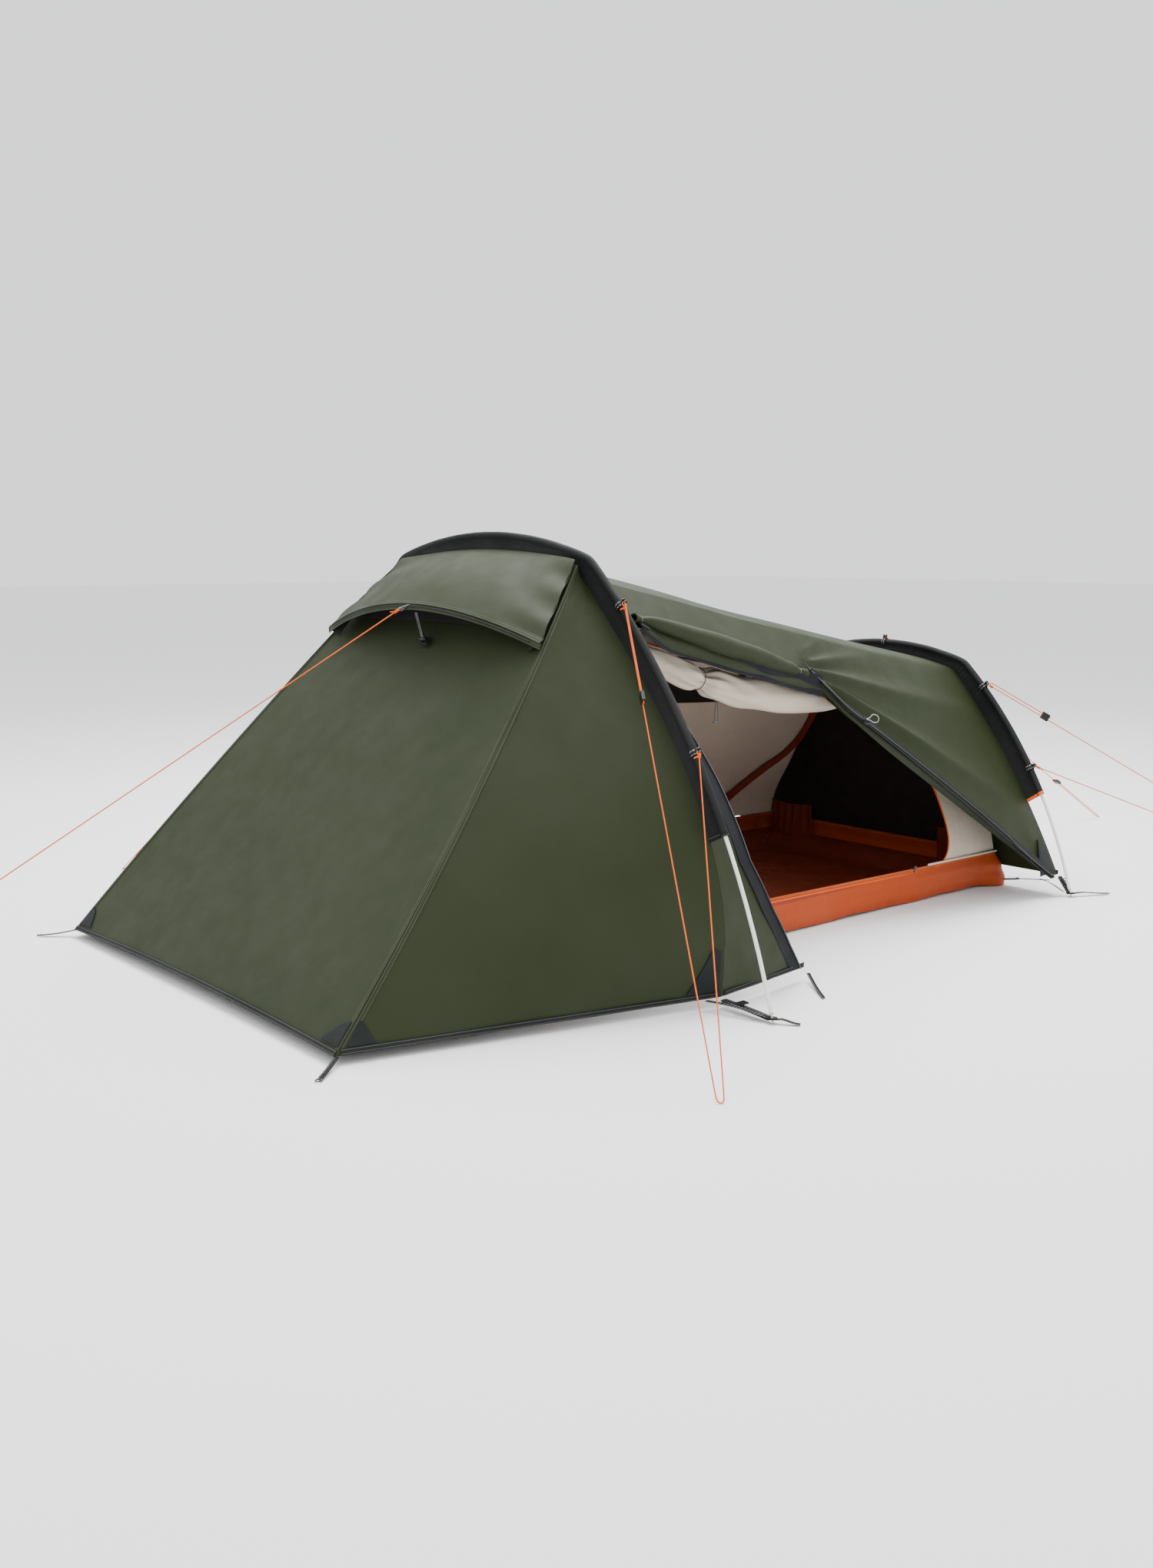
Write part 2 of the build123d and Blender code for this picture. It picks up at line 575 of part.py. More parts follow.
def inner_wall_point(y, v):
    """A point on the right wall: v runs from the tub's top edge to the shoulder."""
    t = max(inner_share(y), 0.0)
    foot = (inner_size("floor", y), inner_size("tub", y) + SEAM_GAP)
    shoulder = mix(INNER_FRONT["shoulder"], INNER_REAR["shoulder"], t)
    full = cubic(foot, (foot[0] - 10, foot[1] + 0.3 * (shoulder[1] - foot[1])),
                 (shoulder[0] + 70 * (1 - t) + 40 * t, shoulder[1] - 110.0), shoulder,
                 v * (inner_height(y) - foot[1]) / (shoulder[1] - foot[1]))
    return (full[0], y, full[1])


def inner_wall(u, v):
    y = mix((INNER_FRONT_Y + 4.0,), (INNER_REAR_Y - 4.0,), u)[0]
    return inner_wall_point(y, v)


def tub_point(u, v):
    """The tub's raised side: v runs from the floor to its top edge."""
    y = mix((INNER_FRONT_Y + 4.0,), (INNER_REAR_Y - 4.0,), u)[0]
    return (inner_size("floor", y) + 4.0 * v, y, 0.6 + (inner_size("tub", y) - 0.6) * v)


def on_left(surface):
    return lambda u, v: mirrored(surface(u, v))


front_floor, rear_floor = inner_size("floor", INNER_FRONT_Y), INNER_REAR["floor"]
floor_outline = make_face(Polyline((front_floor, INNER_FRONT_Y), (rear_floor, INNER_REAR_Y),
                                   (-rear_floor, INNER_REAR_Y), (-front_floor, INNER_FRONT_Y), close=True))
tub = extrude(floor_outline, amount=2.0)
for sign in (1, -1):
    shape = tub_point if sign > 0 else on_left(tub_point)
    tub += cloth(shape, 5, 3, 2.0, (-sign, 0, 0))
for y, way in ((INNER_FRONT_Y, 1), (INNER_REAR_Y, -1)):
    height, half = inner_size("tub", y), inner_size("floor", y)
    tub += Pos(0, y + way * 1.0, height / 2) * Box(2 * half, 2.0, height)
save("inner_tub", tub)

door = INNER_DOOR
DOOR_CORNER_R = 135.0
door_profile = make_face(Polyline(
    (FRONT_Y + door["front"], door["sill"]), (FRONT_Y + door["rear"], door["sill"] - 14),
    (FRONT_Y + door["rear"], door["rear_top"]), (FRONT_Y + door["knee"][0], door["knee"][1]),
    (FRONT_Y + door["front"], door["top_front"]), close=True))
door_profile = fillet(door_profile.vertices(), DOOR_CORNER_R)
doorway = Plane.YZ * door_profile
ZIP_BAND = 22.0
wider = Plane.YZ * offset(door_profile, amount=ZIP_BAND)
right_hole = extrude(doorway, amount=900, dir=(1, 0, 0))
right_wider = extrude(wider, amount=900, dir=(1, 0, 0))
right_wall = cloth(inner_wall, 13, 7, outward=(1, 0, 0))
left_wall = cloth(on_left(inner_wall), 13, 7, outward=(-1, 0, 0))
save("inner_wall_right", right_wall - right_hole)
save("inner_wall_left", left_wall)


def off_wall(distance):
    return lambda u, v: tuple(Vector(*inner_wall(u, v)) + Vector(distance, 0, 0))


band_sheet = cloth(off_wall(-3.2), 13, 7, 1.2, (-1, 0, 0))
left_band_sheet = cloth(on_left(off_wall(-3.2)), 13, 7, 1.2, (1, 0, 0))
band = band_sheet & (right_wider - right_hole)
left_band = left_band_sheet & mirror(right_wider - right_hole, Plane.YZ)
save("inner_zip_bands", band, left_band)


def inner_roof(u, v):
    y = mix((FRONT_Y - 36.0,), (INNER_REAR_Y - 4.0,), u)[0]
    w = 2 * v - 1
    t = max(inner_share(y), 0.0)
    shoulder = mix(INNER_FRONT["shoulder"], INNER_REAR["shoulder"], t)
    crown = inner_size("crown", y)
    return (w * (shoulder[0] - 3.0), y, crown - (crown - shoulder[1]) * w * w + 3.0)


save("inner_roof", cloth(inner_roof, 5, 9))


def inner_front(u, v):
    """The sloping front end: u runs from the tub to the roof, v from side to side."""
    y = mix((INNER_FRONT_Y - 3.0,), (FRONT_Y - 42.0,), u)[0]
    half = mix((inner_size("floor", y) - 8.0,), (INNER_FRONT["shoulder"][0] - 6.0,), u)[0]
    w = 2 * v - 1
    low = inner_size("tub", INNER_FRONT_Y) + 6.0
    z = mix((low,), (INNER_FRONT["shoulder"][1] + 4.0,), u)[0]
    return (w * half, y, z + 52.0 * (1 - w * w) * u)


save("inner_front_end", cloth(inner_front, 7, 7, outward=(0, -1, 1)))

rear_half = [(x, z) for x, _, z in (inner_wall_point(INNER_REAR_Y - 4.0, i / 5) for i in range(6))]
rear_half = [(x - 5.0, z) for x, z in rear_half]
crown_z = INNER_REAR["crown"] - 6.0
mesh_face = make_face([
    Spline(*rear_half), ThreePointArc(rear_half[-1], (0, crown_z), (-rear_half[-1][0], rear_half[-1][1])),
    Spline(*[(-x, z) for x, z in reversed(rear_half)]),
    Line((-rear_half[0][0], rear_half[0][1]), rear_half[0])])
save("inner_rear_mesh", Plane.XZ.offset(-(INNER_REAR_Y + 1.0)) * extrude(mesh_face, amount=CLOTH))

# The rolled inner door, hanging inside the top edge of its doorway
INNER_ROLL = ((402.0, FRONT_Y + 175.0, 792.0), (392.0, FRONT_Y + 330.0, 742.0), (370.0, FRONT_Y + 545.0, 686.0),
              (348.0, FRONT_Y + 760.0, 646.0), (326.0, FRONT_Y + 985.0, 606.0))
save("inner_door_roll", spindle(INNER_ROLL, (20.0, 24.0, 27.0, 27.0, 18.0)))
x, y, z = INNER_ROLL[1]
toggles.append(toggle((x - 2.0, y, z - 32.0), (0.1, 1, -0.3), 22.0, 3.0))
save("door_toggles", *toggles)

# A spare roll tie that hangs and can swing: a loop of elastic with a toggle on it
HANG_TOP = (300.0, FRONT_Y + 560.0, 640.0)
HANG_LENGTH = 62.0
strands = [rod((HANG_TOP[0], HANG_TOP[1] + o, HANG_TOP[2]),
               (HANG_TOP[0], HANG_TOP[1] + o, HANG_TOP[2] - HANG_LENGTH + 3.0), 1.1) for o in (-5, 5)]
bar = toggle((HANG_TOP[0], HANG_TOP[1], HANG_TOP[2] - HANG_LENGTH), (0, 1, 0), 24.0, 3.2)
top_bar = toggle((HANG_TOP[0], HANG_TOP[1], HANG_TOP[2] + 0.8), (0, 1, 0), 14.0, 1.4)
save("hanging_toggle", strands[0] + strands[1] + bar + top_bar)

# Inner zip sliders, parked low on each doorway
inner_sliders = {}
for side, name, y in ((1, "right", 1190.0), (-1, "left", 1190.0)):
    here, ahead = (inner_wall_point(FRONT_Y + at, 0.012) for at in (y, 300.0))
    start = Vector(side * (here[0] + 13.0), here[1], door["sill"] + 10.0)
    way = (Vector(side * (ahead[0] + 13.0), ahead[1], door["sill"] + 12.0) - start).normalized()
    plane = Plane(origin=start, x_dir=(0, 0, 1), z_dir=way)
    slider = plane * extrude(Rectangle(9, 8), amount=13) + plane * Pos(-9, 0, 6) * Box(14, 1.8, 5)
    save(f"inner_zip_slider_{name}", slider)
    inner_sliders[name] = way

# Mesh pockets in the rear corners
pockets = []
for side in (1, -1):
    half = INNER_REAR["floor"] - 14.0
    pockets.append(Pos(side * (half - 105), INNER_REAR_Y - 22.0, 95) * Box(190, CLOTH, 120))
save("mesh_pockets", *pockets)

# Ties between the inner tent and the flysheet: elastic loops with toggles, and cords at the rear corners
ties = []
for at in (60.0, 800.0, 1540.0):
    y = FRONT_Y + at
    fly_z = mix((FRONT_SEAM["crown"],), (REAR_SEAM["crown"],), at / HOOP_SPACING)[0]
    inner_z = inner_size("crown", y) + 5.5
    bar = toggle((0, y, (inner_z + fly_z) / 2), (0, 1, 0), 20, 3)
    ties.append(rod((0, y, inner_z), (0, y, fly_z - 3.0), 1.4) + bar)
    for side in (1, -1):
        low = Vector(side * (inner_wall_point(y, 0.97)[0] + 3.6), y, inner_wall_point(y, 0.97)[2])
        high = mix(seam_point(FRONT_SEAM, 0.02), seam_point(REAR_SEAM, 0.02), at / HOOP_SPACING)
        ties.append(rod(low, (side * (high[0] - 1.5), y, high[1] - 2.0), 1.4))
for side in (1, -1):
    corner = (side * (INNER_REAR["floor"] + 3.5), INNER_REAR_Y - 8.0, 14.0)
    ties.append(strip(corner, (side * 560.0, REAR_Y - 4.0, 26.0), 10.0, TAPE, (0, 1, 0)))
    ties.append(rod((side * 564.0, REAR_Y - 3.0, 26.5), (side * 676.0, REAR_Y - 2.0, 40.0), 1.5))
save("inner_ties", *ties)

# Guy lines --------------------------------------------------------------------------------------
STRAP_IN_R = TUNNEL_OUT_R + 0.5
STRAP_OUT_R = TUNNEL_OUT_R + 2.0
EYE_R, EYE_WIRE_R, EYE_OUT = 6.5, 1.2, 15.5
STRAND_GAP = 10.0
KNOT_GAP = EYE_R + EYE_WIRE_R + GUY_R + 6.5


def strap(hoop, seam, line, height, side):
    """A webbing loop round a sleeve with an eye on its outer side. Returns the solid and the eye's centre."""
    share = sleeve_share(line, height)
    share = share if side > 0 else 1 - share
    half = 6.5 / line.length
    band = swept(line, share - half, share + half, STRAP_OUT_R, STRAP_IN_R)
    centre = line @ share
    tangent = line % share
    outward = tangent.cross(Vector(0, 1, 0))
    outward = outward * (1 if outward.Z > 0 else -1)
    slot = Plane(origin=centre - outward * 12, x_dir=tangent, z_dir=(0, 1, 0)) * Box(40, 24, 4.4)
    eye_centre = centre + outward * EYE_OUT
    eye = Plane(origin=eye_centre, z_dir=tangent) * Torus(EYE_R, EYE_WIRE_R)
    clearance = swept(line, share - 3 * half, share + 3 * half, STRAP_IN_R + 0.3)
    return (band - slot) + (eye - clearance), eye_centre


def tube_along(points, radius=GUY_R):
    """A cord along a route: straight runs joined by tangent arcs as large as the runs allow."""
    points = [Vector(*p) for p in points]
    radii = []
    for before, here, after in zip(points, points[1:], points[2:]):
        turn = (here - before).get_angle(after - here)
        run = min((here - before).length, (after - here).length)
        radii.append(0.45 * run / tan(turn * pi / 360.0))
    path = FilletPolyline(*points, radius=radii)
    return sweep(Plane(origin=path @ 0, z_dir=path % 0) * Circle(radius), path=path)


def slider_block(start, end, share, strand):
    """A two-hole line slider on a pair of parallel strands."""
    start, end = Vector(*start), Vector(*end)
    axis = (end - start).normalized()
    centre = start + (end - start) * share
    plane = Plane(origin=centre, x_dir=strand, z_dir=axis)
    block = plane * extrude(Rectangle(23, 8), amount=13, both=True)
    holes = [plane * Pos(x, 0) * extrude(Circle(GUY_R + 0.6), amount=14, both=True)
             for x in (0.0, STRAND_GAP)]
    return Pos(strand * STRAND_GAP / 2) * block - holes[0] - holes[1]


straps, slides = [], {}


def v_guy(name, hoop, seam, line, side, peg, share):
    """A guy line tied to the lower strap, looped at the peg and adjusted on the upper strap by a slider."""
    heights = FRONT_STRAPS if hoop is FRONT_HOOP else REAR_STRAPS
    (upper, high_eye), (lower, low_eye) = (strap(hoop, seam, line, h[1] - 6.0, side) for h in heights)
    straps.extend([upper, lower])
    peg_point = Vector(peg[0], peg[1], GUY_R + 0.8)
    tent_way = (Vector((high_eye.X + low_eye.X) / 2, hoop["y"], 0) - Vector(peg[0], peg[1], 0)).normalized()
    across = Vector(-tent_way.Y, tent_way.X, 0)
    if (low_eye - high_eye).dot(across) < 0:
        across = across * -1
    from_low = (peg_point - low_eye).normalized()
    to_high = (high_eye - peg_point).normalized()
    strand = to_high.cross(Vector(0, 0, 1)).cross(to_high).normalized()
    start = low_eye + from_low * KNOT_GAP
    turn = [peg_point + across * 8 + tent_way * 9 + Vector(0, 0, 4), peg_point + across * 4,
            peg_point - across * 4, peg_point - across * 8 + tent_way * 9 + Vector(0, 0, 6)]
    top = high_eye - to_high * KNOT_GAP
    main_start = turn[-1]
    main_axis = (top - main_start).normalized()
    strand = strand - main_axis * strand.dot(main_axis)
    strand = strand.normalized()
    back_top = top + strand * STRAND_GAP
    back_end = top + (main_start - top) * share + strand * STRAND_GAP - main_axis * 20
    lift = main_axis * 6
    tube = tube_along([start, *turn, top - main_axis * 2, top + strand * 2.5 + lift * 0.6,
                       back_top - strand * 2.5 + lift * 0.6, back_top - main_axis * 2, back_end])
    save(f"{name}_guy_line", tube)
    save(f"{name}_guy_slider", slider_block(top, main_start, share, strand))
    slides[name] = main_axis


def centre_guy(name, eye_centre, peg, share):
    """A single guy line with its slider near the peg: it runs down, round the peg and back up to the slider."""
    peg_point = Vector(peg[0], peg[1], GUY_R + 0.8)
    way = (peg_point - eye_centre).normalized()
    start = eye_centre + way * KNOT_GAP
    flat = Vector(0, peg[1] - eye_centre.Y, 0).normalized()
    side = Vector(1, 0, 0)
    foot = peg_point - flat * 12 + Vector(0, 0, 5)
    down = (foot - start).normalized()
    turn = [foot, peg_point, peg_point + side * STRAND_GAP, foot + side * STRAND_GAP]
    back_end = start + (foot - start) * share + side * STRAND_GAP - down * 20
    tube = tube_along([start, *turn, back_end])
    save(f"{name}_guy_line", tube)
    save(f"{name}_guy_slider", slider_block(start, foot, share, side))
    slides[name] = down


v_guy("front_right", FRONT_HOOP, FRONT_SEAM, front_line, 1, FRONT_RIGHT_PEG, 0.225)
v_guy("front_left", FRONT_HOOP, FRONT_SEAM, front_line, -1, FRONT_LEFT_PEG, 0.2)
v_guy("rear_right", REAR_HOOP, REAR_SEAM, rear_line, 1, REAR_RIGHT_PEG, 0.17)
v_guy("rear_left", REAR_HOOP, REAR_SEAM, rear_line, -1, REAR_LEFT_PEG, 0.17)
hood_eye = Vector(*hood(1.0, 0.5)) + Vector(0, -24.0, -9.0)
straps.append(Plane(origin=hood_eye, z_dir=(1, 0, 0)) * Torus(EYE_R, EYE_WIRE_R))
hood_tab = Vector(*hood(0.93, 0.5)) + Vector(0, -4, 5)
straps.append(strip(hood_tab, hood_eye + Vector(0, 9.5, 4.5), 12.0, TAPE, (1, 0, 0)))
centre_guy("front_centre", hood_eye, FRONT_CENTRE_PEG, 0.78)
rear_eye = Vector(0, REAR_Y, REAR_HOOP["crown"] + EYE_OUT)
straps.append(Plane(origin=rear_eye, z_dir=(1, 0, 0)) * Torus(EYE_R, EYE_WIRE_R) - swept(
    rear_line, 0.49, 0.51, STRAP_IN_R + 0.3))
crown_band = swept(rear_line, 0.4965, 0.5035, STRAP_OUT_R, STRAP_IN_R)
straps.append(crown_band - Pos(0, REAR_Y, REAR_HOOP["crown"] - 12) * Box(40, 4.4, 24))
centre_guy("rear_centre", rear_eye, REAR_CENTRE_PEG, 0.78)
save("guy_straps", *straps)
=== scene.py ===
import math

import bmesh
import bpy
import numpy as np
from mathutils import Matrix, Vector


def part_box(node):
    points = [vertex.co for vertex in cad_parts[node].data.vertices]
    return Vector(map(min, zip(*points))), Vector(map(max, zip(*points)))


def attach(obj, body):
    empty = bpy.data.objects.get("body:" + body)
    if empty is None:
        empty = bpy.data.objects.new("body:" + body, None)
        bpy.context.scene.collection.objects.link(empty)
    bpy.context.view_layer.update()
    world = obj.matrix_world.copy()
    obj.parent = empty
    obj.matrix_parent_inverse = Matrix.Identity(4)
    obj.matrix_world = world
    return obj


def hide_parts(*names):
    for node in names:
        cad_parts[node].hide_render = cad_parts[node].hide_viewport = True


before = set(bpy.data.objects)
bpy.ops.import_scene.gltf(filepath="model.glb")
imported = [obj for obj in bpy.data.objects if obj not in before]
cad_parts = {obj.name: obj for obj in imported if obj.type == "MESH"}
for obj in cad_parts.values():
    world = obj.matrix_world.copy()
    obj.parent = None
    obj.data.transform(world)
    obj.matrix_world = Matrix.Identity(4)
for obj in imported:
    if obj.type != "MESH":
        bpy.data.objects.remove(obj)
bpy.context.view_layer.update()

bl_info = {
    "name": "Tunnel Tent",
    "version": (1, 0, 0),
    "blender": (4, 5, 0),
    "location": "View3D > Sidebar > Tent",
    "description": "Builds the cloth, cords and finishes of a two-hoop tunnel tent",
    "category": "Add Mesh",
}


def middle_of(node, axis):
    low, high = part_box(node)
    return round((low[axis] + high[axis]) / 2, 4)


FRONT_Y = middle_of("front_pole", 1)
REAR_Y = middle_of("rear_pole", 1)
SPACING = REAR_Y - FRONT_Y
NOSE_REACH = 0.912
NOSE_Y = FRONT_Y - NOSE_REACH
NOSE_HALF_WIDTH = 0.695
DOOR_LENGTH = 1.642

FRONT_HOOP = dict(y=FRONT_Y, foot=(1.060, 0.024), shoulder=(0.420, 1.031), crown=1.092, bulge=0.084,
                  sleeve_foot=0.404)
REAR_HOOP = dict(y=REAR_Y, foot=(0.748, 0.024), shoulder=(0.326, 0.697), crown=0.747, bulge=0.055,
                 sleeve_foot=0.302)
FRONT_SEAM = dict(crown=1.052, shoulder=(0.385, 0.992), side=((0.570, 0.800), (0.990, 0.420)),
                  hem=(0.900, 0.024))
REAR_SEAM = dict(crown=0.712, shoulder=(0.284, 0.672), side=((0.456, 0.491), (0.594, 0.288)),
                 hem=(0.704, 0.062))

# The side door, as distance behind the front hoop against height
FRONT_ZIP_HEIGHTS = (-0.02, 0.02, 0.10, 0.20, 0.325, 0.510, 0.640, 0.905, 0.930)
FRONT_ZIP_REACH = (0.330, 0.306, 0.245, 0.180, 0.120, 0.092, 0.062, 0.030, 0.004)
TOP_EDGE_REACH = (0.0, 0.030, 0.750, 0.842, 1.150, 1.414, 1.642)
TOP_EDGE_HEIGHT = (0.930, 0.905, 0.738, 0.606, 0.378, 0.190, 0.030)
TIE = (0.750, 0.738)

# Inner tent
INNER_FRONT_Y = FRONT_Y - 0.470
INNER_REAR_Y = FRONT_Y + 1.622
INNER_FRONT = dict(floor=0.545, tub=0.112, shoulder=(0.330, 0.900), crown=0.955)
INNER_REAR = dict(floor=0.488, tub=0.102, shoulder=(0.235, 0.575), crown=0.618)
DOOR_OUTLINE = ((FRONT_Y + 0.09, 0.104), (FRONT_Y + 1.395, 0.092), (FRONT_Y + 1.395, 0.360),
                (FRONT_Y + 1.080, 0.618), (FRONT_Y + 0.09, 0.850))
DOOR_CORNER = 0.135
LEFT_OUTLINE = ((FRONT_Y + 0.09, 0.104), (FRONT_Y + 1.245, 0.104), (FRONT_Y + 1.590, 0.370),
                (FRONT_Y + 1.590, 0.520), (FRONT_Y + 1.300, 0.575), (FRONT_Y + 0.09, 0.850))
LEFT_CORNER = 0.140


# Settings -----------------------------------------------------------------------------------------


def size(name, default, text):
    return bpy.props.FloatProperty(name=name, description=text, default=default, min=0.0, unit="LENGTH",
                                   precision=4)


def tint(name, default, text):
    return bpy.props.FloatVectorProperty(name=name, description=text, default=default, min=0.0, max=1.0,
                                         subtype="COLOR", size=3)


class TentSizes(bpy.types.PropertyGroup):
    cloth: size("Cloth", 0.0008, "Thickness of the flysheet and inner cloth")
    tape: size("Tape", 0.0014, "Thickness of webbing and seam tape")
    fold: size("Fold depth", 0.009, "Depth of the folds that spread from the door tie")
    hem: size("Hem", 0.013, "Height of the bound hem")
    zip_width: size("Zip width", 0.030, "Width of the tape that carries each door zip")
    webbing: size("Webbing", 0.016, "Width of the foot webbing")
    guy: size("Guy line", 0.003, "Diameter of the guy lines")
    sleeve: size("Sleeve", 0.0092, "Radius of the pole tunnel in each sleeve")


class TentColours(bpy.types.PropertyGroup):
    fly: tint("Flysheet", (0.0172, 0.0235, 0.0072), "Olive green of the flysheet")
    sleeve: tint("Sleeves", (0.0075, 0.0078, 0.0085), "Black of the pole sleeves")
    tape: tint("Tape", (0.006, 0.0062, 0.007), "Black of the webbing and hems")
    patch: tint("Patches", (0.0030, 0.0052, 0.0066), "Slate of the corner patches")
    zip_band: tint("Zip tape", (0.0024, 0.0028, 0.0062), "Navy of the outer zip tapes")
    inner: tint("Inner cloth", (0.66, 0.57, 0.46), "Cream of the inner tent")
    tub: tint("Tub", (0.40, 0.052, 0.006), "Orange of the tub")
    # Tub floor: the tub's orange darkened as painted shade, for the shade that falls on the floor inside the tent
    floor: tint("Tub floor", (0.17, 0.026, 0.010), "Dark inside of the tub floor")
    maroon: tint("Inner zip tape", (0.30, 0.040, 0.018), "Red-brown of the inner zip tape")
    guy: tint("Guy lines", (0.80, 0.120, 0.008), "Orange of the guy lines")
    mesh: tint("Mesh", (0.022, 0.019, 0.018), "Black of the netting")
    pole: tint("Poles", (0.80, 0.80, 0.72), "Pale glass fibre of the poles")


# Curves and surfaces ------------------------------------------------------------------------------


def mix(a, b, t):
    return a + (b - a) * t


def cubic(a, b, c, d, t):
    """Points on a cubic curve with four control points, for shares t."""
    a, b, c, d = (np.asarray(p, float) for p in (a, b, c, d))
    t = np.asarray(t, float)[..., None]
    return (1 - t) ** 3 * a + 3 * t * (1 - t) ** 2 * b + 3 * t * t * (1 - t) * c + t**3 * d


def stack(*parts):
    return np.stack(np.broadcast_arrays(*parts), axis=-1).astype(float)


def unit(v):
    return v / np.maximum(np.linalg.norm(v, axis=-1, keepdims=True), 1e-12)


def smooth_step(low, high, x):
    t = np.clip((x - low) / (high - low), 0, 1)
    return t * t * (3 - 2 * t)


def resample(line, count):
    """The same line as evenly spaced points."""
    line = np.asarray(line, float)
    run = np.concatenate([[0], np.cumsum(np.linalg.norm(np.diff(line, axis=0), axis=1))])
    at = np.linspace(0, run[-1], count)
    return np.stack([np.interp(at, run, line[:, i]) for i in range(line.shape[1])], axis=1)


def curve_through(points, count):
    """A smooth line through points, evenly spaced."""
    p = np.asarray(points, float)
    p = np.vstack([2 * p[0] - p[1], p, 2 * p[-1] - p[-2]])
    out = []
    for a, b, c, d in zip(p, p[1:], p[2:], p[3:]):
        t = np.linspace(0, 1, 24, endpoint=False)[:, None]
        out.append(0.5 * (2 * b + (c - a) * t + (2 * a - 5 * b + 4 * c - d) * t**2
                          + (3 * b - a - 3 * c + d) * t**3))
    return resample(np.vstack([*out, p[-2][None]]), count)


def soften(line, passes):
    line = np.array(line, float)
    for _ in range(passes):
        line[1:-1] = (line[:-2] + 2 * line[1:-1] + line[2:]) / 4
    return line


def arc_through(a, m, b, count):
    """Points on the circle through three points in a plane."""
    (ax, ay), (mx, my), (bx, by) = a, m, b
    d = 2 * (ax * (my - by) + mx * (by - ay) + bx * (ay - my))
    sa, sm, sb = ax * ax + ay * ay, mx * mx + my * my, bx * bx + by * by
    cx = (sa * (my - by) + sm * (by - ay) + sb * (ay - my)) / d
    cy = (sa * (bx - mx) + sm * (ax - bx) + sb * (mx - ax)) / d
    start, centre, end = (math.atan2(y - cy, x - cx) for x, y in (a, m, b))
    turn = (end - start) % math.tau
    if (centre - start) % math.tau > turn:
        turn -= math.tau
    t = start + turn * np.linspace(0, 1, count)
    return np.stack([cx + math.hypot(ax - cx, ay - cy) * np.cos(t), cy + math.hypot(ax - cx, ay - cy) * np.sin(t)],
                    axis=1)


def hoop_line(hoop, count=600):
    """A pole's centre line from its right foot to its left one, as (across, height)."""
    foot, shoulder = np.array(hoop["foot"]), np.array(hoop["shoulder"])
    run = shoulder - foot
    out = -np.array([-run[1], run[0]]) / np.linalg.norm(run)
    centre = (foot + shoulder) / 2 + out * hoop["bulge"]
    side = arc_through(foot, centre, shoulder, 200)
    crown = arc_through(shoulder, (0, hoop["crown"]), shoulder * (-1, 1), 200)
    line = resample(np.vstack([side[:-1], crown, (side * (-1, 1))[::-1][1:]]), count)
    return soften(line, 14)


def seam_side(seam, v):
    """Down one side of a sleeve's seam, from the shoulder to the hem, as (across, height)."""
    return cubic(seam["shoulder"], *seam["side"], seam["hem"], v)


def fly_side(u, v, side=1):
    """The side of the flysheet: u from the front hoop to the rear one, v from shoulder to hem."""
    front, rear = seam_side(FRONT_SEAM, v), seam_side(REAR_SEAM, v)
    p = mix(front, rear, np.asarray(u)[..., None])
    return stack(side * p[..., 0], FRONT_Y + SPACING * u, p[..., 1])


def side_share(u, height):
    """The share v at which the side of the flysheet has this height."""
    low, high = np.zeros(np.broadcast(u, height).shape), np.ones(np.broadcast(u, height).shape)
    for _ in range(24):
        v = (low + high) / 2
        above = fly_side(u, v)[..., 2] > height
        low, high = np.where(above, v, low), np.where(above, high, v)
    return (low + high) / 2


def on_side(reach, height, side=1):
    """A point on the flysheet's side at a distance behind the front hoop and a height."""
    u = np.clip(np.asarray(reach, float) / SPACING, 0, 1)
    return fly_side(u, side_share(u, height), side)


def front_zip_reach(height):
    return np.interp(height, FRONT_ZIP_HEIGHTS, FRONT_ZIP_REACH)


def top_edge(reach):
    return np.interp(reach, TOP_EDGE_REACH, TOP_EDGE_HEIGHT)


def crown_of(u, w):
    """The roof between the shoulders, w from -1 to 1."""
    u = np.asarray(u, float)
    x = mix(FRONT_SEAM["shoulder"][0], REAR_SEAM["shoulder"][0], u)
    z = mix(FRONT_SEAM["shoulder"][1], REAR_SEAM["shoulder"][1], u)
    top = mix(FRONT_SEAM["crown"], REAR_SEAM["crown"], u)
    return stack(w * x, FRONT_Y + SPACING * u, top - (top - z) * w * w)


def nose_height(y):
    return 0.020 + (y - NOSE_Y) * 1.020 / NOSE_REACH


def nose_seam(v):
    p = cubic((0.400, FRONT_Y - 0.022), (0.520, FRONT_Y - 0.250), (0.650, FRONT_Y - 0.620),
              (NOSE_HALF_WIDTH, NOSE_Y), v)
    return stack(p[..., 0], p[..., 1], nose_height(p[..., 1]))


def nose_side(u, v, side=1):
    """The side of the nose: u from the nose seam to the front hoop, v from top to hem."""
    hoop = seam_side(FRONT_SEAM, v)
    back = stack(hoop[..., 0], np.full(np.shape(v), FRONT_Y - 0.001), hoop[..., 1])
    p = mix(nose_seam(v), back, np.asarray(u)[..., None])
    return p * (side, 1, 1)


def nose_panel(u, v):
    p = nose_seam(u)
    w = 2 * v - 1
    hem, rise = 0.008 * u * u * (1 - w * w), (1 - u) ** 3 * 0.022 * (1 - w * w)
    return stack(w * p[..., 0], p[..., 1] + hem + rise * 0.7, p[..., 2] + hem * 1.118 + rise)


def hood(u, v):
    """The vent hood: u from its crown seam to its rim, v from the left end to the right one."""
    w = 2 * np.asarray(v, float) - 1
    bow = 1 - w * w
    top = stack(0.392 * w, FRONT_Y - 0.008 - 0.008 * w * w, 1.049 - 0.028 * w * w)
    rim = stack(0.492 * w, FRONT_Y - 0.206 - 0.046 * bow, 0.826 + 0.082 * bow)
    lift = 0.056 * u * (1 - u) * (1 - w**4)
    return mix(top, rim, np.asarray(u, float)[..., None]) + stack(0 * lift, -0.4 * lift - 0.006, lift + 0.006)


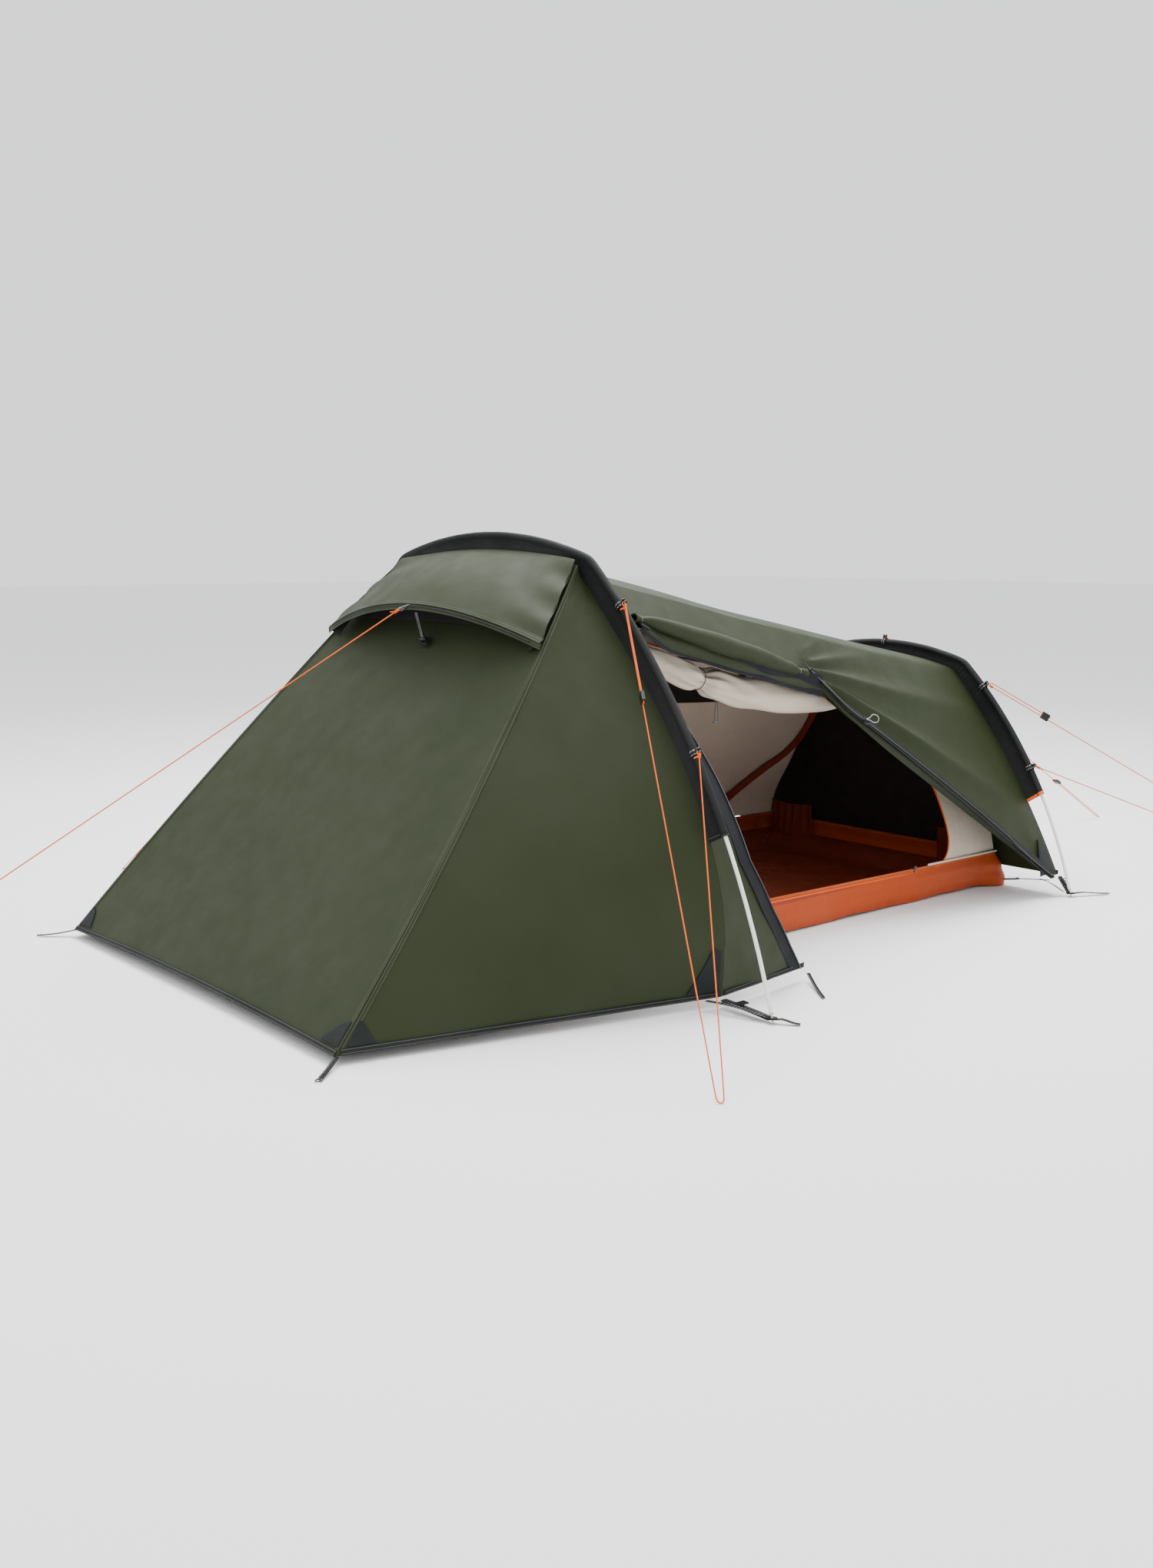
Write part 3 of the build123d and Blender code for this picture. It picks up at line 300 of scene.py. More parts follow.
def inner_share(y):
    return (np.asarray(y, float) - FRONT_Y) / (INNER_REAR_Y - FRONT_Y)


def inner_size(key, y):
    return mix(INNER_FRONT[key], INNER_REAR[key], np.maximum(inner_share(y), -0.05))


def inner_shoulder(y):
    t = np.maximum(inner_share(y), 0)
    (fx, fz), (rx, rz) = INNER_FRONT["shoulder"], INNER_REAR["shoulder"]
    return mix(fx, rx, t), mix(fz, rz, t)


def inner_top(y):
    """The height of the wall's upper edge, which slopes down ahead of the front hoop."""
    t = np.clip((FRONT_Y - 0.04 - y) / (FRONT_Y - 0.04 - INNER_FRONT_Y), 0, 1)
    return mix(inner_shoulder(y)[1], 0.300, t)


def inner_wall(y, z, side=1):
    """A point on the inner tent's wall at a distance along it and a height."""
    y, z = np.broadcast_arrays(np.asarray(y, float), np.asarray(z, float))
    t = np.maximum(inner_share(y), 0)
    sx, sz = inner_shoulder(y)
    fx, fz = inner_size("floor", y), inner_size("tub", y) + 0.003
    a, b = stack(fx, fz), stack(fx - 0.010, fz + 0.3 * (sz - fz))
    c, d = stack(sx + 0.070 * (1 - t) + 0.040 * t, sz - 0.110), stack(sx, sz)
    low, high = np.zeros(y.shape), np.ones(y.shape)
    for _ in range(24):
        v = (low + high) / 2
        below = cubic_each(a, b, c, d, v)[..., 1] < z
        low, high = np.where(below, v, low), np.where(below, high, v)
    return stack(side * cubic_each(a, b, c, d, v)[..., 0], y, z)


def cubic_each(a, b, c, d, t):
    t = t[..., None]
    return (1 - t) ** 3 * a + 3 * t * (1 - t) ** 2 * b + 3 * t * t * (1 - t) * c + t**3 * d


def rounded(outline, radius, step=0.012):
    """A closed outline with rounded corners, as evenly spaced points."""
    p = np.asarray(outline, float)
    out = []
    for before, here, after in zip(np.roll(p, 1, 0), p, np.roll(p, -1, 0)):
        a, b = unit(before - here), unit(after - here)
        half = math.acos(float(np.clip(a @ b, -1, 1))) / 2
        reach = min(radius / math.tan(half), 0.45 * min(np.linalg.norm(before - here), np.linalg.norm(after - here)))
        t = np.linspace(0, 1, 14)[:, None]
        out.append((1 - t) ** 2 * (here + a * reach) + 2 * t * (1 - t) * here + t * t * (here + b * reach))
    ring = np.vstack([*out, out[0][:1]])
    total = np.linalg.norm(np.diff(ring, axis=0), axis=1).sum()
    return resample(ring, int(total / step) + 1)


def folds(p, centre, spread, count, phase=0.0):
    """Ridges that fan out from a point of a side, from 0 to 1, strongest near it."""
    dy, dz = p[..., 1] - centre[0], p[..., 2] - centre[1]
    angle, away = np.arctan2(dz, dy), np.hypot(dy, dz)
    return np.cos(angle * count + phase) * np.exp(-away / spread) * smooth_step(0.0, 0.09, away)


def swell(p, scale, seed=0.0):
    """Gentle uneven waves over a surface, from -1 to 1."""
    x, y, z = (p[..., i] * scale for i in range(3))
    return (np.sin(2.1 * x + 1.3 * y + 0.7 * seed) * np.cos(1.7 * z - 0.9 * y + seed)
            + 0.5 * np.sin(3.7 * y + 2.9 * z + 2.2 * seed + 0.8 * x)) / 1.5


def normals_of(p, close_v=False):
    du = np.gradient(p, axis=0)
    dv = np.gradient(p, axis=1) if not close_v else (np.roll(p, -1, 1) - np.roll(p, 1, 1)) / 2
    return unit(np.cross(du, dv))


# Meshes -------------------------------------------------------------------------------------------


class Shape:
    """Closed surfaces collected into one mesh, with UVs in metres along the cloth."""

    def __init__(self):
        self.points, self.faces, self.uvs = [], [], []

    def grid(self, p, around=False, back=False):
        """A net of points as faces. around joins its last column to its first."""
        rows, columns = p.shape[:2]
        first = sum(len(q) for q in self.points)
        self.points.append(p.reshape(-1, 3))
        q = np.concatenate([p, p[:, :1]], axis=1) if around else p
        s = np.concatenate([np.zeros((1, q.shape[1])), np.cumsum(np.linalg.norm(np.diff(q, axis=0), axis=2), 0)])
        t = np.concatenate([np.zeros((rows, 1)), np.cumsum(np.linalg.norm(np.diff(q, axis=1), axis=2), 1)], 1)
        s = np.repeat(s.mean(1, keepdims=True), q.shape[1], 1)
        i, j = np.meshgrid(np.arange(rows - 1), np.arange(q.shape[1] - 1), indexing="ij")
        i, j = i.ravel(), j.ravel()
        corners = ((i, j), (i + 1, j), (i + 1, j + 1), (i, j + 1))
        if back:
            corners = corners[::-1]
        quads = np.stack([first + a * columns + b % columns for a, b in corners], 1)
        uv = np.stack([np.stack([s[a, b], t[a, b]], 1) for a, b in corners], 1)
        self.faces.extend(map(tuple, quads.tolist()))
        self.uvs.append(uv.reshape(-1, 2))
        return first

    def loop(self, ring):
        self.faces.append(tuple(ring))
        self.uvs.append(np.zeros((len(ring), 2)))

    def sheet(self, p, thickness, around=False):
        """A thin closed sheet whose front is the net p, with its thickness behind."""
        rows, columns = p.shape[:2]
        behind = p - normals_of(p, around) * thickness
        a, b = self.grid(p, around), self.grid(behind, around, back=True)
        rim = [0 * columns + j for j in range(columns)]
        if not around:
            rim += [i * columns + columns - 1 for i in range(1, rows)]
            rim += [(rows - 1) * columns + j for j in range(columns - 2, -1, -1)]
            rim += [i * columns for i in range(rows - 2, 0, -1)]
            for x, y in zip(rim, rim[1:] + rim[:1]):
                self.loop((a + x, a + y, b + y, b + x))
        else:
            last = (rows - 1) * columns
            for j in range(columns):
                k = (j + 1) % columns
                self.loop((a + j, a + k, b + k, b + j))
                self.loop((a + last + k, a + last + j, b + last + j, b + last + k))

    def tape(self, line, normals, width, thickness, crown=0.0, across=None):
        """A flat band along a line, lying on a surface with these normals."""
        line, normals = np.asarray(line, float), unit(np.asarray(normals, float))
        way = unit(np.gradient(line, axis=0))
        over = unit(np.cross(way, normals)) if across is None else unit(np.asarray(across, float))
        w = np.linspace(-0.5, 0.5, 7)
        width = np.broadcast_to(np.asarray(width, float), (len(line),))
        p = line[:, None] + over[:, None] * (w[None, :] * width[:, None])[..., None]
        p = p + normals[:, None] * (crown * (1 - 4 * w * w))[None, :, None]
        self.sheet(p[:, ::-1], thickness)

    def tube(self, line, radius, sides=12, flatten=1.0, ends=True, up=(0.0, 0.0, 1.0), profile=None):
        """A round bar along a line, with rounded ends. radius may vary along it."""
        line = np.asarray(line, float)
        radius = np.broadcast_to(np.asarray(radius, float), (len(line),))
        way = unit(np.gradient(line, axis=0))
        over = unit(np.cross(way, np.asarray(up, float)))
        above = np.cross(over, way)
        if ends:
            start = [line[0] - way[0] * radius[0] * c for c in (1.0, 0.87, 0.5)]
            stop = [line[-1] + way[-1] * radius[-1] * c for c in (0.5, 0.87, 1.0)]
            line = np.vstack([start, line, stop])
            radius = np.concatenate([radius[0] * np.array([0.03, 0.5, 0.87]), radius,
                                     radius[-1] * np.array([0.87, 0.5, 0.03])])
            over = np.vstack([over[:1]] * 3 + [over] + [over[-1:]] * 3)
            above = np.vstack([above[:1]] * 3 + [above] + [above[-1:]] * 3)
        angle = np.linspace(0, math.tau, sides, endpoint=False)
        grow = np.ones((len(line), sides)) if profile is None else profile(np.linspace(0, 1, len(line))[:, None], angle)
        r = radius[:, None] * grow
        p = line[:, None] + over[:, None] * (np.cos(angle) * r)[..., None] \
            + above[:, None] * (np.sin(angle) * r * flatten)[..., None]
        first = self.grid(p, around=True)
        self.loop([first + j for j in range(sides)][::-1])
        self.loop([first + (len(line) - 1) * sides + j for j in range(sides)])

    def ring(self, centre, axis, radius, wire, sides=28):
        """A wire ring."""
        axis = unit(np.asarray(axis, float))
        x = unit(np.cross(axis, (0.3, 0.9, 0.2)))
        y = np.cross(axis, x)
        a, b = np.meshgrid(np.linspace(0, math.tau, sides + 1), np.linspace(0, math.tau, 10, endpoint=False),
                           indexing="ij")
        out = np.cos(a)[..., None] * x + np.sin(a)[..., None] * y
        p = np.asarray(centre, float) + out * (radius + wire * np.cos(b))[..., None] \
            + axis * (wire * np.sin(b))[..., None]
        self.grid(p, around=True)

    def piece(self, name, material, slot, body="tent", replaces=(), sharp=38.0):
        mesh = bpy.data.meshes.new(name)
        mesh.from_pydata(np.vstack(self.points).tolist(), [], self.faces)
        uv = mesh.uv_layers.new(name="UVMap")
        uv.data.foreach_set("uv", np.vstack(self.uvs).astype(np.float32).ravel())
        weld(mesh)
        mesh.polygons.foreach_set("use_smooth", [True] * len(mesh.polygons))
        mesh.set_sharp_from_angle(angle=math.radians(sharp))
        obj = bpy.data.objects.new(name, mesh)
        bpy.context.scene.collection.objects.link(obj)
        mesh.materials.append(material)
        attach(obj, body)
        if replaces:
            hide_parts(*replaces)
        return obj


def weld(mesh):
    """Joins points that meet, such as a ring's first and last rows, and turns every face outwards."""
    work = bmesh.new()
    work.from_mesh(mesh)
    bmesh.ops.remove_doubles(work, verts=work.verts, dist=1e-6)
    bmesh.ops.dissolve_degenerate(work, edges=work.edges, dist=1e-7)
    bmesh.ops.recalc_face_normals(work, faces=work.faces)
    work.to_mesh(mesh)
    work.free()


def net(function, rows, columns, *, wave=None, **kw):
    """Points of a surface function on an even net, pushed out by wave(points, u, v)."""
    u, v = np.meshgrid(np.linspace(0, 1, rows), np.linspace(0, 1, columns), indexing="ij")
    p = function(u, v, **kw)
    return p if wave is None else p + normals_of(p) * wave(p, u, v)[..., None]


def facing(p, way):
    """The net turned so that its front faces a direction."""
    return p if (normals_of(p).mean((0, 1)) @ np.asarray(way, float)) > 0 else p[:, ::-1]


# Finishes -----------------------------------------------------------------------------------------


class Finish:
    """Builds one node material."""

    def __init__(self, name, colour, roughness, **shader):
        self.material = bpy.data.materials.new(name)
        self.material.use_nodes = True
        tree = self.material.node_tree
        self.nodes, self.links = tree.nodes, tree.links
        self.shader = self.nodes["Principled BSDF"]
        self.shader.inputs["Base Color"].default_value = (*colour, 1)
        self.shader.inputs["Roughness"].default_value = roughness
        for key, value in shader.items():
            self.shader.inputs[key.replace("_", " ")].default_value = value
        self.normal = None
        place = self.node("ShaderNodeTexCoord")
        self.place, self.uv = place.outputs["Object"], place.outputs["UV"]

    def node(self, kind, **values):
        made = self.nodes.new(kind)
        for key, value in values.items():
            if hasattr(made, key):
                setattr(made, key, value)
            else:
                self.put(value, made.inputs[key.replace("_", " ")])
        return made

    def put(self, value, socket):
        if isinstance(value, bpy.types.NodeSocket):
            self.links.new(value, socket)
        else:
            socket.default_value = value

    def maths(self, operation, *values):
        made = self.node("ShaderNodeMath", operation=operation)
        for value, socket in zip(values, made.inputs):
            self.put(value, socket)
        return made.outputs[0]

    def noise(self, scale, detail=3.0, stretch=(1, 1, 1), place=None):
        spot = self.node("ShaderNodeMapping", Vector=place or self.place, Scale=stretch)
        return self.node("ShaderNodeTexNoise", Vector=spot.outputs[0], Scale=scale, Detail=detail).outputs["Fac"]

    def between(self, value, low, high, to_low=0.0, to_high=1.0):
        made = self.node("ShaderNodeMapRange", Value=value)
        for key, number in zip(("From Min", "From Max", "To Min", "To Max"), (low, high, to_low, to_high)):
            made.inputs[key].default_value = number
        return made.outputs[0]

    def colour(self):
        """What feeds the base colour now."""
        socket = self.shader.inputs["Base Color"]
        return socket.links[0].from_socket if socket.links else tuple(socket.default_value)

    def tone(self, share, colour, blend="MIX"):
        """Mixes another colour into the base colour."""
        made = self.node("ShaderNodeMix", data_type="RGBA", blend_type=blend)
        self.put(share, made.inputs[0])
        self.put(self.colour(), made.inputs[6])
        self.put((*colour, 1), made.inputs[7])
        self.links.new(made.outputs[2], self.shader.inputs["Base Color"])

    def rough(self, value, low, high):
        self.links.new(self.between(value, 0.3, 0.7, low, high), self.shader.inputs["Roughness"])

    def bump(self, height, distance):
        made = self.node("ShaderNodeBump", Height=height, Distance=distance)
        made.inputs["Strength"].default_value = 1.0
        if self.normal is not None:
            self.links.new(self.normal, made.inputs["Normal"])
        self.normal = made.outputs[0]
        self.links.new(self.normal, self.shader.inputs["Normal"])

    def weave(self, pitch, depth, stray=0.0):
        """Plain weave along the cloth. Returns its height."""
        split = self.node("ShaderNodeSeparateXYZ", Vector=self.uv)
        turn = math.tau / pitch
        a = self.maths("SINE", self.maths("MULTIPLY", split.outputs[0], turn))
        b = self.maths("SINE", self.maths("MULTIPLY", split.outputs[1], turn))
        height = self.between(self.maths("MULTIPLY", a, b), -1, 1)
        self.bump(height, depth)
        return height

    def stitches(self, lines, pitch=0.0042, colour=(0.3, 0.3, 0.28), share=0.6):
        """Rows of thread at these distances across the cloth."""
        split = self.node("ShaderNodeSeparateXYZ", Vector=self.uv)
        dash = self.maths("LESS_THAN", self.maths("FRACT", self.maths("MULTIPLY", split.outputs[0], 1 / pitch)), share)
        total = None
        for line in lines:
            near = self.maths("LESS_THAN", self.maths("ABSOLUTE", self.maths("SUBTRACT", split.outputs[1], line)), 0.0005)
            row = self.maths("MULTIPLY", near, dash)
            total = row if total is None else self.maths("MAXIMUM", total, row)
        self.tone(total, colour)
        self.bump(total, 0.0004)

    def worn(self, depth=0.08, scale=2.4):
        """Uneven dye: broad paler and darker patches."""
        broad, fine = self.noise(scale, 4), self.noise(38, 3)
        self.tone(self.between(broad, 0.35, 0.75, 0, depth), (0.5, 0.5, 0.45))
        self.tone(self.between(fine, 0.4, 0.8, 0, depth * 0.8), (0.0, 0.0, 0.0))


def woven(name, colour, roughness, pitch=0.0011, depth=0.00012, crease=0.0006, sheen=0.0, worn=0.07, **shader):
    """A woven cloth with soft creases."""
    made = Finish(name, colour, roughness, Sheen_Weight=sheen, Sheen_Roughness=0.5, Specular_IOR_Level=0.14, **shader)
    made.worn(worn * 0.45)
    made.weave(pitch, depth)
    made.bump(made.noise(9, 4, (1, 1, 1)), crease * 6)
    made.bump(made.noise(30, 5, (1, 2.2, 0.8)), crease)
    made.rough(made.noise(14, 3), roughness - 0.06, roughness + 0.08)
    return made


FINISHES = {}


def finish(name):
    """The material of that name, built when it is first asked for."""
    if name in FINISHES:
        return FINISHES[name].material
    c = bpy.context.scene.tent_colours
    tone = {key: tuple(getattr(c, key)) for key in TentColours.__annotations__}
    thread = (0.16, 0.17, 0.15)
    if name == "fly":
        made = woven("fly_taffeta", tone["fly"], 0.52, crease=0.00018, worn=0.03)
    elif name == "fly_seam":
        made = woven("fly_seam_tape", tuple(x * 0.86 for x in tone["fly"]), 0.52)
        made.stitches((0.0025, 0.0095), colour=(0.10, 0.115, 0.07))
    elif name == "sleeve":
        made = woven("sleeve_oxford", tone["sleeve"], 0.62, pitch=0.0014, depth=0.00018, crease=0.0009)
    elif name == "tape":
        made = woven("bound_tape", tone["tape"], 0.66, pitch=0.0012, depth=0.00025)
        made.stitches((0.0022, 0.0105), colour=thread)
    elif name == "webbing":
        made = woven("black_webbing", tone["tape"], 0.6, pitch=0.0022, depth=0.0004)
        made.stitches((0.0022, 0.0138), pitch=0.008, colour=(0.42, 0.43, 0.42), share=0.62)
    elif name == "reflective":
        made = woven("reflective_webbing", tone["tape"], 0.55, pitch=0.0018, depth=0.0003)
        made.stitches((0.0016, 0.0105), pitch=0.009, colour=(0.62, 0.64, 0.62), share=0.66)
    elif name == "patch":
        made = woven("slate_patch", tone["patch"], 0.58, pitch=0.0013, depth=0.0002)
    elif name == "zip":
        made = woven("zip_tape", tone["zip_band"], 0.6, pitch=0.0012, depth=0.0002)
        made.stitches((0.003, 0.027), colour=(0.03, 0.035, 0.06))
    elif name == "coil":
        made = Finish("zip_coil", tone["tape"], 0.35)
        split = made.node("ShaderNodeSeparateXYZ", Vector=made.uv)
        teeth = made.maths("SINE", made.maths("MULTIPLY", split.outputs[0], math.tau / 0.0022))
        made.bump(made.between(teeth, -1, 1), 0.0006)
        made.worn(0.05)
    elif name == "inner":
        made = woven("inner_cream", tone["inner"], 0.72, pitch=0.0010, depth=0.00012, crease=0.0009,
                     worn=0.10)
    elif name == "inner_edge":
        made = woven("inner_piping", tuple(x * 1.1 for x in tone["inner"]), 0.6, pitch=0.001, depth=0.0002)
        made.stitches((0.002,), colour=(0.45, 0.42, 0.38))
    elif name == "tub":
        made = woven("tub_orange", tone["tub"], 0.46, pitch=0.0013, depth=0.00014, crease=0.0011,
                     worn=0.09)
    elif name == "tub_edge":
        made = woven("tub_piping", tuple(x * 1.05 for x in tone["tub"]), 0.5, pitch=0.0011, depth=0.0002)
        made.stitches((0.002, 0.006), colour=(0.75, 0.32, 0.12))
    # Painted shade: the tub floor is a darker copy of the tub's orange, standing for the shade inside the tent
    elif name == "floor":
        made = woven("tub_floor", tone["floor"], 0.42, pitch=0.0013, depth=0.00012, crease=0.0016,
                     worn=0.06)
    elif name == "maroon":
        made = woven("inner_zip_tape", tone["maroon"], 0.6, pitch=0.0012, depth=0.0002)
        made.stitches((0.002, 0.020), colour=(0.26, 0.05, 0.03))
    elif name == "pocket":
        made = woven("pocket_mesh", tuple(x * 0.6 for x in tone["maroon"]), 0.75, pitch=0.0035, depth=0.0008,
                     crease=0.002)
    elif name == "mesh":
        made = woven("black_netting", tone["mesh"], 0.8, pitch=0.0024, depth=0.0006, crease=0.0012,
                     worn=0.02)
    elif name == "trim":
        made = woven("orange_trim", tone["guy"], 0.6, pitch=0.0012, depth=0.0003)
    elif name == "guy":
        made = Finish("guy_cord", tone["guy"], 0.6, Specular_IOR_Level=0.2)
        split = made.node("ShaderNodeSeparateXYZ", Vector=made.uv)
        strand = made.node("ShaderNodeTexWave", Vector=made.place, Scale=260.0, Distortion=6.0, Detail=1.0)
        made.bump(strand.outputs["Fac"], 0.0005)
        made.tone(made.between(made.noise(400, 2), 0.55, 0.75, 0, 0.3), (0.9, 0.35, 0.08))
        made.tone(made.between(made.noise(3, 2), 0.4, 0.7, 0, 0.25), (0.45, 0.09, 0.02))
    elif name == "plastic":
        made = Finish("black_acetal", (0.0055, 0.0055, 0.006), 0.42, Specular_IOR_Level=0.3)
        made.bump(made.noise(900, 3), 0.0001)
        made.rough(made.noise(40, 4), 0.32, 0.52)
        made.tone(made.between(made.noise(60, 4), 0.5, 0.8, 0, 0.12), (0.05, 0.05, 0.05))
    elif name == "pull":
        made = Finish("zip_pull_enamel", (0.008, 0.008, 0.009), 0.36, Metallic=0.2)
        made.bump(made.noise(500, 3), 0.0001)
        made.tone(made.between(made.noise(120, 4), 0.58, 0.75, 0, 0.3), (0.20, 0.19, 0.18))
        made.rough(made.noise(60, 3), 0.25, 0.5)
    elif name == "loop":
        made = woven("pull_loop", (0.30, 0.32, 0.30), 0.5, pitch=0.0016, depth=0.0003)
    elif name == "pole":
        made = Finish("glass_fibre", tone["pole"], 0.3, Coat_Weight=0.3, Coat_Roughness=0.2)
        made.tone(made.between(made.noise(60, 5, (1, 1, 0.06)), 0.4, 0.7, 0, 0.3), (0.62, 0.62, 0.50))
        made.bump(made.noise(240, 3, (1, 1, 0.05)), 0.0003)
        made.rough(made.noise(30, 4), 0.24, 0.46)
    elif name == "metal":
        made = Finish("pole_metal", (0.60, 0.57, 0.47), 0.35, Metallic=1.0)
        made.tone(made.between(made.noise(80, 5), 0.45, 0.75, 0, 0.5), (0.30, 0.28, 0.22))
        made.bump(made.noise(300, 3), 0.0002)
        made.rough(made.noise(50, 4), 0.28, 0.55)
    elif name == "eyelet":
        made = Finish("eyelet_brass", (0.66, 0.60, 0.36), 0.3, Metallic=1.0)
        made.tone(made.between(made.noise(90, 5), 0.45, 0.75, 0, 0.5), (0.30, 0.24, 0.10))
        made.bump(made.noise(300, 3), 0.0002)
        made.rough(made.noise(70, 4), 0.24, 0.5)
    elif name == "elastic":
        made = Finish("braided_elastic", (0.62, 0.61, 0.57), 0.7)
        made.bump(made.noise(700, 3), 0.0004)
        made.tone(made.between(made.noise(200, 3), 0.5, 0.7, 0, 0.6), (0.16, 0.16, 0.15))
    elif name == "elastic_dark":
        made = Finish("dark_elastic", (0.10, 0.10, 0.095), 0.7)
        made.bump(made.noise(700, 3), 0.0004)
        made.tone(made.between(made.noise(200, 3), 0.5, 0.7, 0, 0.6), (0.3, 0.3, 0.28))
    elif name == "wire":
        made = Finish("rim_wire", (0.45, 0.45, 0.46), 0.35, Metallic=1.0)
        made.bump(made.noise(400, 3), 0.0002)
        made.rough(made.noise(60, 3), 0.25, 0.5)
    else:
        raise ValueError(name)
    FINISHES[name] = made
    return made.material


def dress(material, *nodes):
    """Gives CAD nodes a material."""
    for node in nodes:
        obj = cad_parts[node]
        for place in obj.material_slots:
            place.material = finish(material)


# Guy lines ----------------------------------------------------------------------------------------

# Each line's route, which starts by its eye. It turns round a peg point and comes back to its
# slider.
GUY_ROUTES = {
    "front_right": (
        (0.8246, -0.3927, 0.5843), (1.3443, -0.8147, 0.0179), (1.3549, -0.8234, 0.0063),
        (1.3602, -0.8317, 0.0023), (1.3558, -0.8383, 0.0023), (1.3461, -0.8367, 0.0083),
        (1.335, -0.8304, 0.0211), (0.5704, -0.3973, 0.9045), (0.5593, -0.3911, 0.9173),
        (0.5574, -0.39, 0.923), (0.5605, -0.3917, 0.9265), (0.5655, -0.3945, 0.9243),
        (0.5766, -0.4008, 0.9116), (0.7539, -0.5012, 0.7067),
    ),
    "front_left": (
        (-0.8257, -0.392, 0.585), (-1.459, -0.8087, 0.0171), (-1.471, -0.8166, 0.0063),
        (-1.4769, -0.8245, 0.0023), (-1.473, -0.8315, 0.0023), (-1.4632, -0.8306, 0.0083),
        (-1.4512, -0.8248, 0.0204), (-0.5722, -0.3965, 0.9058), (-0.5602, -0.3907, 0.9179),
        (-0.558, -0.3896, 0.9235), (-0.561, -0.391, 0.9273), (-0.5663, -0.3936, 0.9254),
        (-0.5783, -0.3994, 0.9133), (-0.7591, -0.4875, 0.7311),
    ),
    "rear_right": (
        (0.6074, 1.2705, 0.3846), (1.0001, 2.1689, 0.0127), (1.0069, 2.1843, 0.0063),
        (1.0075, 2.1941, 0.0023), (1.0005, 2.1979, 0.0023), (0.9927, 2.1918, 0.0083),
        (0.9845, 2.1785, 0.0172), (0.4306, 1.2833, 0.6151), (0.4224, 1.27, 0.624),
        (0.4205, 1.2669, 0.6289), (0.4218, 1.269, 0.6332), (0.425, 1.2742, 0.6327),
        (0.4332, 1.2875, 0.6238), (0.5304, 1.4445, 0.5189),
    ),
    "rear_left": (
        (-0.6074, 1.2705, 0.3846), (-1.0001, 2.1689, 0.0127), (-1.0069, 2.1843, 0.0063),
        (-1.0075, 2.1941, 0.0023), (-1.0005, 2.1979, 0.0023), (-0.9927, 2.1918, 0.0083),
        (-0.9845, 2.1785, 0.0172), (-0.4306, 1.2833, 0.6151), (-0.4224, 1.27, 0.624),
        (-0.4205, 1.2669, 0.6289), (-0.4218, 1.269, 0.6332), (-0.425, 1.2742, 0.6327),
        (-0.4332, 1.2875, 0.6238), (-0.5304, 1.4445, 0.5189),
    ),
    "front_centre": (
        (0, -0.6808, 0.8976), (0, -2.3172, 0.0158), (0, -2.333, 0.0073), (0, -2.345, 0.0023),
        (0.01, -2.345, 0.0023), (0.01, -2.333, 0.0073), (0.01, -2.3172, 0.0158), (0.01, -1.9519, 0.2126),
    ),
    "rear_centre": (
        (0, 1.2706, 0.7547), (0, 2.5644, 0.0162), (0, 2.58, 0.0073), (0, 2.592, 0.0023),
        (0.01, 2.592, 0.0023), (0.01, 2.58, 0.0073), (0.01, 2.5644, 0.0162), (0.01, 2.2746, 0.1817),
    ),
}
# Straps on the sleeves for the right side: centre on the pole, then the eye
STRAPS = {
    "front_upper": ((0.5373, -0.385, 0.9190), (0.5484, -0.385, 0.9298)),
    "front_lower": ((0.8023, -0.385, 0.5860), (0.8153, -0.385, 0.5944)),
    "rear_upper": ((0.4030, 1.257, 0.6220), (0.4142, 1.257, 0.6327)),
    "rear_lower": ((0.5884, 1.257, 0.3820), (0.6016, 1.257, 0.3902)),
}
HOOD_EYE = (0.0, -0.667, 0.905)
CROWN_EYE = (0.0, 1.257, 0.7625)


def knot(name, start, eye, away):
    """A bight through an eye with a wrapped knot below it."""
    start, eye, away = (np.asarray(p, float) for p in (start, eye, away))
    way = unit(away - start)
    side = unit(np.cross(way, (0.2, 0.1, 1.0)))
    over = np.cross(side, way)
    shape = Shape()
    reach = np.linalg.norm(eye - start)
    a = np.linspace(0, math.tau, 40)
    middle = start - way * reach * 0.52
    bight = middle + np.cos(a)[:, None] * way * reach * 0.5 + np.sin(a)[:, None] * side * 0.0042
    shape.tube(bight, 0.00145, sides=8, ends=False, up=over)
    turn = np.linspace(0, math.tau * 3.2, 90)
    rise = np.linspace(-0.0045, 0.0075, 90)
    wrap = start + way * rise[:, None] + (np.cos(turn)[:, None] * side + np.sin(turn)[:, None] * over) * 0.0027
    shape.tube(wrap, 0.0015, sides=8, up=way)
    tail = np.stack([start + way * 0.004, start + way * 0.006 + side * 0.006, start + way * 0.011 + side * 0.0125])
    shape.tube(curve_through(tail, 12), 0.0015, sides=8, up=over)
    return shape.piece(name, finish("guy"), "guy_orange")


